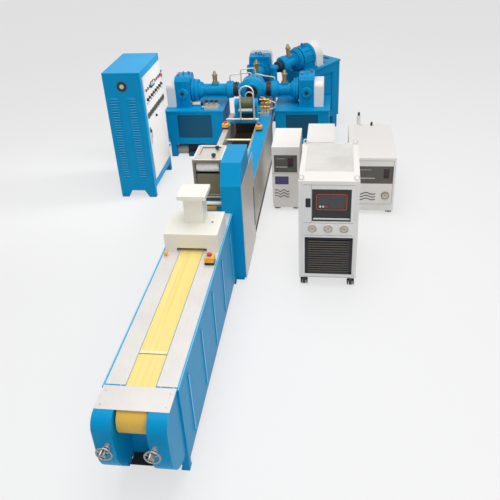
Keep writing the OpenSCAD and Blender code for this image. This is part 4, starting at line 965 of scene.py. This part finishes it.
class FitConveyor(bpy.types.Operator):
    """Belt splice with its painted shadow, stop box trim, knobs, grips, bright edges of painted highlight,
    roll stand trim with a board of painted shade, vent and louvre lips of painted highlight
    """

    bl_idname = "foxing_line.conveyor"
    bl_label = "Conveyor trim"

    # The belt's splice and its brown line of painted shadow, as places along the belt
    SPLICE, SPLICE_LINE = 326.0, 307.0
    # Half a stop box, the place across of the one on the table and along of the right one on the trough
    BOX_HALF, TABLE_BOX, RIGHT_BOX = 37.0, 181.0, 4495.0
    # Knobs: the screw on the hood, the yellow knob on the table and two on the roll stand
    HOOD_SCREW, HOOD_KNOB, STAND_KNOBS = (145.0, 1762.0), (-196.0, 1480.0), (64.0, 2619.0, 2424.0)
    # Handwheels: radius of the rim, throw of the crank and the grip's foot behind the nearest point
    WHEEL_RADIUS, CRANK, GRIP = 52.5, 46.5, 42.0
    # Cabinet: the vent across and up, the wall behind the fronts of its louvres, their columns and rows
    VENT, VENT_SINK = (-1212.0, 1360.0), 12.0
    COLUMNS, ROWS = (-1323.0, -1119.0), np.linspace(275.0, 1220.0, 32)

    def execute(self, context):
        self.splice()
        self.stop_boxes()
        self.knobs()
        self.grips()
        self.sleeves()
        self.edges()
        self.transfer()
        self.stand_shade()
        self.stand_top()
        self.casing()
        self.vent()
        self.louvres()
        return {"FINISHED"}

    def splice(self):
        """A pale patch over the belt's splice and a brown line along its near edge, a painted shadow of the
        splice.
        """
        top = corners("belt")[1][2]
        fit("belt_splice", block(184, 26, 0.5, 0.8, 0.2), [(0, self.SPLICE, top)], "belt_splice")
        fit("splice_line", block(186, 8, 0.9, 0.8, 0.3), [(0, self.SPLICE_LINE, top)], "splice_brown")

    def stop_boxes(self):
        """A pale collar round each stop button and a dark band round each box."""
        low, high = corners("stop_boxes")
        half, trough = self.BOX_HALF, corners("stop_buttons")[0][2]
        boxes = [
            (self.TABLE_BOX, low[1] + half, high[2]),
            (high[0] - half, self.RIGHT_BOX, trough),
            (low[0] + half, high[1] - half, trough),
        ]
        collar = lathe([(13, 0), (24, 0), (24, 3), (19, 7), (13, 7), (13, 0)], 36)
        fit("stop_collars", collar, boxes, "mark_white")
        band = shifted(block(75.2, 75.2, 11, 2, 0.5), z=-49.0)
        fit("stop_bands", band, boxes, "black_plastic")

    def knobs(self):
        """A screw on the hood, a yellow knob beside it and two black knobs on the roll stand."""
        screw = lathe([(0, 0), (8, 0), (8, 4), (5, 6), (0, 6)], 20)
        fit("hood_screw", screw, [(*self.HOOD_SCREW, corners("tunnel_hood")[1][2])], "black_plastic")
        knob = lathe([(0, 0), (9, 0), (9, 12), (16, 18), (19, 26), (16, 35), (8, 39), (0, 40)])
        fit("hood_knob", knob, [(*self.HOOD_KNOB, corners("conveyor_table")[1][2])], "stop_box_yellow")
        black = lathe([(0, 0), (11, 0), (11, 10), (20, 14), (20, 26), (15, 30), (0, 31)])
        across, hatch, front = self.STAND_KNOBS
        top = corners("roll_stand")[1][2]
        fit("stand_knobs", black, [(across, hatch, top - 10.0), (across, front, top)], "black_plastic")

    def grips(self):
        """Turned grips over the crank pins of the handwheels, riding with their wheels."""
        grip = lathe([(8.1, 0), (9.2, 2), (10, 12), (9, 30), (8.4, 36), (8.1, 36), (8.1, 0)], 28)
        for name in WHEELS:
            low, _ = corners(name)
            place = [(middle(name)[0], low[1] + self.GRIP, low[2] + self.WHEEL_RADIUS + self.CRANK)]
            fit(f"{name}_grip", grip, place, "polished_chrome", NEAR, body=name)

    def sleeves(self):
        """Steel sleeves over the bosses that carry the handwheels."""
        long, near = 31.0, corners("nose_cheeks")[0][1]
        sleeve = lathe([(18.8, 0), (20.4, 0), (20.4, long - 1), (19.6, long), (18.8, long), (18.8, 0)], 32)
        places = [(middle(name)[0], near + long, corners(name)[0][2] + self.WHEEL_RADIUS) for name in WHEELS]
        fit("wheel_sleeves", sleeve, places, "roller_steel", NEAR, slot="chrome")

    def edges(self):
        """Bright edges on the rims and pressed ribs of the side panels, painted highlights for the light they
        catch, and a dark pan between the cheeks.
        """
        low, high = corners("conveyor_panel_right")
        out, run, tall = high[0], high[1] - low[1], high[2] - low[2] - 140.0
        edge, rib = block(8, run - 2, 0.6, 0.5, 0.2), block(18, tall, 1.0, 2, 0.4)
        strips = [repeat(edge, [(side * (out - 11.5), run / 2, high[2])]) for side in (-1, 1)]
        ribs = (np.arange(5) + 0.5) * run / 5
        for side in (-1, 1):
            places = [(side * (out - 0.4), along, low[2] + 62.0 + tall / 2) for along in ribs]
            strips.append(repeat(rib, places, (side, 0, 0)))
        piece("panel_edges", strips, "edge_enamel")
        low, high = corners("nose_apron")
        depth = 98.0
        place = [(middle("nose_apron")[0], low[1] - depth / 2, low[2])]
        fit("nose_pan", block(high[0] - low[0], depth, 4, 2, 1), place, "black_plastic")

    def transfer(self):
        """A white roll between the conveyor and the roll stand and a drip block on the stand's foot."""
        low, high = corners("stand_base")
        along, top = low[1] + 20.0, high[2]
        roll = lathe([(0, 0), (8, 0), (8, 12), (16, 12), (18, 14), (18, 236), (16, 238), (8, 238), (8, 246),
                      (0, 246)], 32)
        place = [(corners("drive_guard")[0][0], along, top + 64.0)]
        fit("transfer_roll", roll, place, "roll_cover_white", LEFT)
        fit("drip_block", block(108, 36, 34, 4, 2), [(20, along, top)], "amber")

    def stand_shade(self):
        """A dark board inside the roll stand, behind the pull roll: painted shade for the stand's dark
        inside.
        """
        stand, roll = corners("roll_stand"), corners("pull_roll")
        plate, top, below, behind = 24.0, 26.0, 62.0, 30.0
        low, high = roll[0][2] - below, stand[1][2] - top
        place = [(middle("roll_stand")[0], roll[1][1] + behind, (low + high) / 2)]
        board = block(stand[1][0] - stand[0][0] - 2 * plate, high - low, 4, 1, 0.4)
        fit("stand_shade", board, place, "black_plastic", NEAR)

    def stand_top(self):
        """Bright sheet on the top of the roll stand: a margin round the hatch, the hatch itself and a rim."""
        low, high = corners("roll_stand")
        wide, deep, _ = high - low
        across, along, _ = middle("roll_stand")
        front, back, side, sink = 110.0, 40.0, 44.0, 10.0
        run, top = deep - front - back, high[2]
        hatch = low[1] + front + run / 2
        field = [
            repeat(strip(wide - 2, front - 1), [(across, low[1] + front / 2, top)]),
            repeat(strip(wide - 2, back - 1), [(across, high[1] - back / 2, top)]),
            repeat(strip(side - 1, run), [(x, hatch, top) for x in (low[0] + side / 2, high[0] - side / 2)]),
            repeat(strip(wide - 2 * side - 1, run - 1), [(across, hatch, top - sink)]),
        ]
        piece("stand_sheet", field, "stainless_sheet")
        fit("stand_rim", hoop(wide, deep, 1.6, 2, 14), [(across, along, top)], "table_plate")

    def casing(self):
        """Dark joint at the end of the stand's side plate in the shaded paint, a black toe board as painted
        shade under the casing, and a pale edge along the channel.
        """
        plate, casing, trim = map(corners, ("stand_side_plate", "trough_right_casing", "trough_trim"))
        foot = 190.0
        tall = casing[1][2] - foot
        place = [(plate[1][0], plate[1][1] - 33.0, foot + tall / 2)]
        fit("plate_joint", block(64, tall, 1.5, 2, 0.5), place, "shaded_enamel", RIGHT)
        toe = block(40, casing[1][1] - casing[0][1] - 4.0, casing[0][2] - 1.0, 3, 1)
        fit("toe_board", toe, [(casing[1][0] - 17.0, middle("trough_right_casing")[1], 0.5)], "black_plastic")
        place = [(trim[0][0] + 12.0, trim[0][1] + 1005.0, trim[1][2])]
        fit("channel_edge", block(26, 2000, 1.0, 1, 0.3), place, "zinc_plate")

    def vent(self):
        """A round fan guard on the cabinet: three rings and eight spokes over a dark disc, and a pale hub."""
        across, tall = self.VENT
        place = [(across, corners("cabinet_near_wall")[0][1] + self.VENT_SINK, tall)]
        disc = lathe([(0, 0), (57, 0), (57, 2), (0, 2)], 48)
        fit("vent_disc", disc, place, "black_plastic", NEAR)
        rims = [lathe([(r - 2, 2), (r + 2, 2), (r + 2, 5), (r - 2, 5), (r - 2, 2)], 48) for r in (34, 46, 56)]
        spokes = repeat(shifted(block(4, 46, 5.5, 1.5, 0.5), y=33), np.zeros((8, 3)), spins=turns(8))
        fit("vent_guard", join(rims + [spokes]), place, "dark_panel", NEAR)
        hub = lathe([(0, 2), (25, 2), (25, 6), (21, 7.5), (0, 7.5)])
        fit("vent_hub", hub, place, "dial_cream", NEAR)

    def louvres(self):
        """Pale pressed lips along the louvres of the cabinet's near wall, 32 rows in two columns: painted
        highlights where each louvre's top catches the light.
        """
        face = corners("cabinet_near_wall")[0][1] + 1.0
        steps = [(None, 0), (0, 0), (0, 1.2), (0.6, 1.8), (None, 1.8)]
        lip = levels(*outline(84.0, 5.0, 1.0, 2), 1.0, steps)
        places = [(x, face, z + 3.5) for x in self.COLUMNS for z in self.ROWS]
        fit("louvre_lips", lip, places, "edge_enamel", NEAR)


class FitExtruders(bpy.types.Operator):
    """Plugs, glasses, deck trim, valves, pipes, pump, drive with a board of painted shade, panels in painted
    shade, wiper and nozzles
    """

    bl_idname = "foxing_line.extruders"
    bl_label = "Extruder fittings"

    # Red plugs by form of gearbox: height over the screw and distance to its sides
    CROWN = {"box": (215.0, 60.0), "tower": (215.0, 60.0), "round": (152.0, 0.0)}
    # Water pipes: three over the die head and one beside the valves
    PIPE_RUNS = (
        [(-258, 5400, 942), (-258, 5400, 1000), (-240, 5405, 1028), (-150, 5420, 1038), (-10, 5432, 1045),
         (20, 5435, 1036), (30, 5435, 995)],
        [(334, 5400, 942), (334, 5400, 972), (318, 5405, 994), (200, 5415, 1010), (100, 5425, 1032),
         (76, 5428, 1022), (72, 5428, 992)],
        [(-110, 5400, 908), (-110, 5400, 1070), (-94, 5405, 1098), (45, 5420, 1110), (72, 5425, 1098),
         (80, 5425, 1060), (80, 5425, 990)],
        [(262, 5024, 796), (310, 5032, 800), (358, 5044, 778), (372, 5050, 745), (350, 5052, 706),
         (300, 5046, 694), (222, 5030, 712)],
    )
    # Valves along the line, right and left, and the pump on the left deck
    RIGHT_VALVES, LEFT_VALVES, PUMP = 5020.0, 5185.0, (-772.0, 5313.0)
    # Foot and top of the access panels, and the spray nozzles along, up and across
    PANEL_FOOT, PANEL_TOP = 277.0, 593.0
    SPRAY, NOZZLES = (4655.0, 690.0), (-110.0, -50.0, 10.0, 70.0)

    def execute(self, context):
        self.plugs()
        self.decks()
        self.valves()
        self.pipes()
        self.drive()
        self.panels()
        self.press_bar()
        self.nozzles()
        return {"FINISHED"}

    def plugs(self):
        """Dark plugs in the gearboxes' caps, red breathers on top and two brass-rimmed glasses below."""
        plug = lathe([(0, 0), (15, 0), (16, 3), (16, 10), (11, 14), (0, 14)], 24)
        glass = lathe([(0, 0), (21, 0), (21, 6), (15, 8), (14, 5), (0, 5)], 28)
        eye = lathe([(0, 0), (25, 0), (25, 3), (19, 5), (0, 5)], 28)
        sides = np.array([-1.0, 1.0])
        tops, fronts, eyes = [], [], []
        for line in EXTRUDERS:
            rise, across = self.CROWN[line.form]
            seats = line.place(line.gearbox + np.array([40.0, 155.0]), across * sides, line.axis + rise)
            tops.append(repeat(plug, seats, line.way(0, 0, 1)))
            if line.form != "round":
                low = line.place(line.gearbox, 125.0 * sides, line.deck + 70.0)
                fronts.append(repeat(glass, low, line.way(-1, 0, 0)))
                caps = line.place(line.cap, line.CAP_FACE * sides, line.axis)
                eyes.append(repeat(eye, caps, line.way(0, sides, 0)))
        piece("cap_plugs", eyes, "black_plastic")
        piece("gearbox_plugs", tops, "stop_button_red")
        piece("sight_glasses", fronts, "brass")

    def decks(self):
        """An upstand along the back of the left and right decks, and two dark slots in the raised deck."""
        upstands = []
        for name in DECKED:
            low, high = corners(name)
            bar = block(high[0] - low[0] - 8.0, 6, 36, 2, 1)
            upstands.append(repeat(bar, [(middle(name)[0], high[1] - 6.0, high[2])]))
        piece("deck_upstands", upstands, "blue_enamel")
        places = RAISED.place(np.array([1170.0, 1320.0]), np.array([-70.0, 0.0]), RAISED.deck)
        slot = block(46, 100, 1.2, 4, 0.4)
        fit("deck_slots", slot, places, "black_plastic", RAISED.way(0, 0, 1), math.pi / 4)

    def valves(self):
        """Brass bodies on one riser over the right valve block, black knobs on the left one."""
        low, high = corners("coolant_pipes")
        right = np.array([high[0] - 59.0, self.RIGHT_VALVES, Extruder.DECK + 58.0])
        body = lathe([(0, -62), (15, -62), (15, -42), (12, -40), (12, -24), (20, -18), (23, 0), (20, 18),
                      (12, 24), (12, 40), (15, 42), (15, 62), (0, 62)], 24)
        rows = right + np.array([[0.0, 0.0, 20.0], [10.0, 6.0, 68.0], [-6.0, -4.0, 116.0]])
        riser = lathe([(0, 0), (11, 0), (11, 116), (0, 116)], 20)
        piece("brass_valves", [repeat(body, rows, RIGHT), repeat(riser, [right])], "brass")
        stem = lathe([(0, 14), (6, 14), (6, 29), (0, 29)], 16)
        lever = join([shifted(block(15, 74, 4, 5, 1), y=24, z=27), stem])
        fit("valve_levers", lever, rows, "stop_box_yellow", spins=(1.3, -1.2, 1.0))
        knob = lathe([(0, 0), (14, 0), (14, 8), (26, 11), (27, 22), (22, 27), (0, 28)], 32)
        seats = low[0] + 34.0 + 190.0 * (np.arange(3) + 0.5) / 3
        left = [(seat, self.LEFT_VALVES, Extruder.DECK + 88.0) for seat in seats]
        fit("manifold_knobs", knob, left, "black_plastic")

    def pipes(self):
        """Short water pipes over the die head and beside the valves, and a small pump on the left deck."""
        piece("water_pipes", [tube(spline(run, 8), 7.5) for run in self.PIPE_RUNS], "pale_pipe")
        motor = lathe([(0, 0), (22, 0), (26, 4), (26, 108), (22, 112), (0, 112)], 28)
        cap = lathe([(0, 112), (20, 112), (20, 136), (16, 140), (0, 140)], 28)
        seat = [(*self.PUMP, Extruder.DECK + 27.0)]
        fit("pump_motor", motor, seat, "unit_powder_coat", RIGHT)
        fit("pump_cap", cap, seat, "black_plastic", RIGHT)

    def drive(self):
        """The drive under the left base: a grey motor, a black casing before a dark board of painted shade,
        and a blue beam in the shaded paint.
        """
        low, high = corners("left_base")
        left, near = low[0] + 100.0, low[1] + 12.0
        motor = lathe([(0, 0), (56, 0), (62, 6), (62, 150), (56, 156), (0, 156)], 32)
        fit("drive_motor", motor, [(left, near + 120, 64)], "motor_grey", RIGHT)
        case = repeat(block(170, 130, 150, 8, 3), [(left + 242, near + 130, 1)])
        board = block(high[0] - low[0] - 160, 8, 184, 2, 1)
        behind = [(middle("left_base")[0], near + 240, 1)]
        piece("drive_casing", [case, repeat(board, behind)], "black_plastic")
        fit("drive_beam", block(190, 44, 58, 3, 1), [(left + 262, near + 34, 1)], "shaded_enamel")

    def panels(self):
        """Dark access panels sunk in the near sides of the left and right bases, in the shaded paint: painted
        shade in the recesses.
        """
        plates = []
        for name in DECKED:
            low, high = corners(name)
            plate = block((high[0] - low[0] - 24.0) * 0.6 - 8, self.PANEL_TOP - self.PANEL_FOOT - 8, 3, 4, 1)
            place = [(middle(name)[0], low[1] + 18.0, (self.PANEL_FOOT + self.PANEL_TOP) / 2)]
            plates.append(repeat(plate, place, NEAR))
        piece("base_panels", plates, "shaded_enamel")

    def press_bar(self):
        """A white wiper bar in front of the press roll, between its bearing plates."""
        low, _ = corners("press_roll")
        wiper = join([block(172, 26, 8, 4, 2), shifted(block(172, 8, 6, 2, 1), y=14, z=1)])
        place = [(middle("press_roll")[0], low[1] - 8.0, low[2] + 34.0)]
        fit("press_wiper", wiper, place, "roll_cover_white", NEAR)

    def nozzles(self):
        """Spray nozzles under the bar over the channel."""
        nozzle = lathe([(0, 0), (7, 0), (7, 14), (4, 22), (0, 22)], 20)
        fit("spray_nozzles", nozzle, [(x, *self.SPRAY) for x in self.NOZZLES], "brass", DOWN)


class BuildStudio(bpy.types.Operator):
    """Pale floor, soft light and the camera"""

    bl_idname = "foxing_line.studio"
    bl_label = "Studio"

    # Each lamp: place and size in metres, share of the key's power, turns about X and Z, and spread
    LAMPS = {
        "key_light": ((0.4, -1.0, 6.5), (5.0, 8.0), 1.0, (0.0, 0.0), math.pi),
        "front_light": ((2.8, -7.5, 4.2), (3.0, 2.4), 0.32, (0.98, 0.33), math.pi),
        "door_light": ((3.0, 2.2, 3.6), (1.6, 1.2), 0.023, (1.012, 1.804), 0.5),
    }
    # The floor: half its side and its drop in metres, its grey and the share of its own glow
    REACH, DROP, GREY, GLOW = 60.0, 0.0005, 0.74, 0.64

    def execute(self, context):
        scene = context.scene
        setting = scene.foxing_studio
        scene.view_settings.view_transform = "Standard"
        self.camera(scene, setting)
        self.floor(scene)
        self.surroundings(scene, setting)
        for name in self.LAMPS:
            self.lamp(scene, setting, name)
        return {"FINISHED"}

    def camera(self, scene, setting):
        """Forward from yaw and pitch, then right and up turned by the roll."""
        cy, sy = math.cos(setting.yaw), math.sin(setting.yaw)
        cp, sp = math.cos(setting.pitch), math.sin(setting.pitch)
        forward = np.array([-sy * cp, cy * cp, -sp])
        right = np.array([cy, sy, 0.0])
        up = np.cross(right, forward)
        cr, sr = math.cos(setting.roll), math.sin(setting.roll)
        side, top = cr * right + sr * up, cr * up - sr * right
        pose = np.eye(4)
        pose[:3] = np.stack([side, top, -forward, tuple(setting.eye)], axis=1)
        data = bpy.data.cameras.new("photo_camera")
        data.sensor_width = 36.0
        data.lens = setting.focal
        data.clip_end = 200.0
        camera = bpy.data.objects.new("photo_camera", data)
        camera.matrix_world = Matrix(pose.tolist())
        scene.collection.objects.link(camera)
        scene.camera = camera

    def floor(self, scene):
        """One wide flat sheet just under the line, part paper and part glow where it is seen."""
        reach = self.REACH
        mesh = bpy.data.meshes.new("floor")
        square = [(-reach, -reach, 0), (reach, -reach, 0), (reach, reach, 0), (-reach, reach, 0)]
        mesh.from_pydata(square, [], [(0, 1, 2, 3)])
        made = Finish("floor_paper", roughness=0.9, base_color=(self.GREY, self.GREY, self.GREY, 1))
        tree = made.tree
        glow = made.node("ShaderNodeEmission", Color=(1, 1, 1, 1), Strength=1.0)
        blend = made.node("ShaderNodeMixShader")
        sources = ((self.seen(tree) * self.GLOW).socket, made.shader.outputs[0], glow.outputs[0])
        for slot, source in zip(blend.inputs, sources):
            tree.links.new(source, slot)
        tree.links.new(blend.outputs[0], tree.nodes["Material Output"].inputs["Surface"])
        mesh.materials.append(made.material)
        floor = bpy.data.objects.new("floor", mesh)
        floor.location.z = CAD_BOX[0][2] - self.DROP
        scene.collection.objects.link(floor)

    def seen(self, tree):
        """1 for what the camera sees straight on, in reflections or through glass, else 0."""
        path = tree.nodes.new("ShaderNodeLightPath")
        straight, glossy, through = (
            Value(tree, path.outputs[f"Is {ray} Ray"]) for ray in ("Camera", "Glossy", "Transmission"))
        return straight.math("MAXIMUM", glossy).math("MAXIMUM", through)

    def surroundings(self, scene, setting):
        """A white world of strength fill + (1 - fill) where it is seen."""
        world = bpy.data.worlds.new("pale_room")
        world.use_nodes = True
        tree = world.node_tree
        back = tree.nodes["Background"]
        back.inputs["Color"].default_value = (1, 1, 1, 1)
        strength = self.seen(tree) * (1.0 - setting.fill) + setting.fill
        tree.links.new(strength.socket, back.inputs["Strength"])
        scene.world = world

    def lamp(self, scene, setting, name):
        """One rectangular area lamp of the table, its power a share of the key's."""
        place, size, share, lean, spread = self.LAMPS[name]
        data = bpy.data.lights.new(name, "AREA")
        data.shape = "RECTANGLE"
        data.size, data.size_y = size
        data.energy = setting.key * share
        data.spread = spread
        lamp = bpy.data.objects.new(name, data)
        lamp.location = place
        lamp.rotation_euler = (lean[0], 0.0, lean[1])
        scene.collection.objects.link(lamp)


class FoxingLinePanel(bpy.types.Panel):
    """Lists the settings and the steps that dress the line"""

    bl_idname = "VIEW3D_PT_foxing_line"
    bl_label = "Extrusion line"
    bl_space_type = "VIEW_3D"
    bl_region_type = "UI"
    bl_category = "Extrusion line"

    def draw(self, context):
        scene = context.scene
        for group in (scene.foxing_colours, scene.foxing_fittings, scene.foxing_studio):
            for key in group.__annotations__:
                self.layout.prop(group, key)
        for step in STEPS:
            self.layout.operator(step.bl_idname)


STEPS = (DressFinishes, FitFasteners, FitDoor, FitUnits, FitConveyor, FitExtruders, BuildStudio)
CLASSES = (LineColours, FittingSizes, StudioSettings, *STEPS, FoxingLinePanel)


def register():
    """Registers every class and hangs the three groups of settings on the scene."""
    for item in CLASSES:
        bpy.utils.register_class(item)
    bpy.types.Scene.foxing_colours = bpy.props.PointerProperty(type=LineColours)
    bpy.types.Scene.foxing_fittings = bpy.props.PointerProperty(type=FittingSizes)
    bpy.types.Scene.foxing_studio = bpy.props.PointerProperty(type=StudioSettings)


def unregister():
    """Takes the settings off the scene and the classes away, in the opposite order."""
    del bpy.types.Scene.foxing_studio
    del bpy.types.Scene.foxing_fittings
    del bpy.types.Scene.foxing_colours
    for item in reversed(CLASSES):
        bpy.utils.unregister_class(item)


def main():
    """Runs every step in order."""
    register()
    bpy.ops.foxing_line.finishes()
    bpy.ops.foxing_line.fasteners()
    bpy.ops.foxing_line.door()
    bpy.ops.foxing_line.units()
    bpy.ops.foxing_line.conveyor()
    bpy.ops.foxing_line.extruders()
    bpy.ops.foxing_line.studio()


if __name__ == "__main__":
    main()
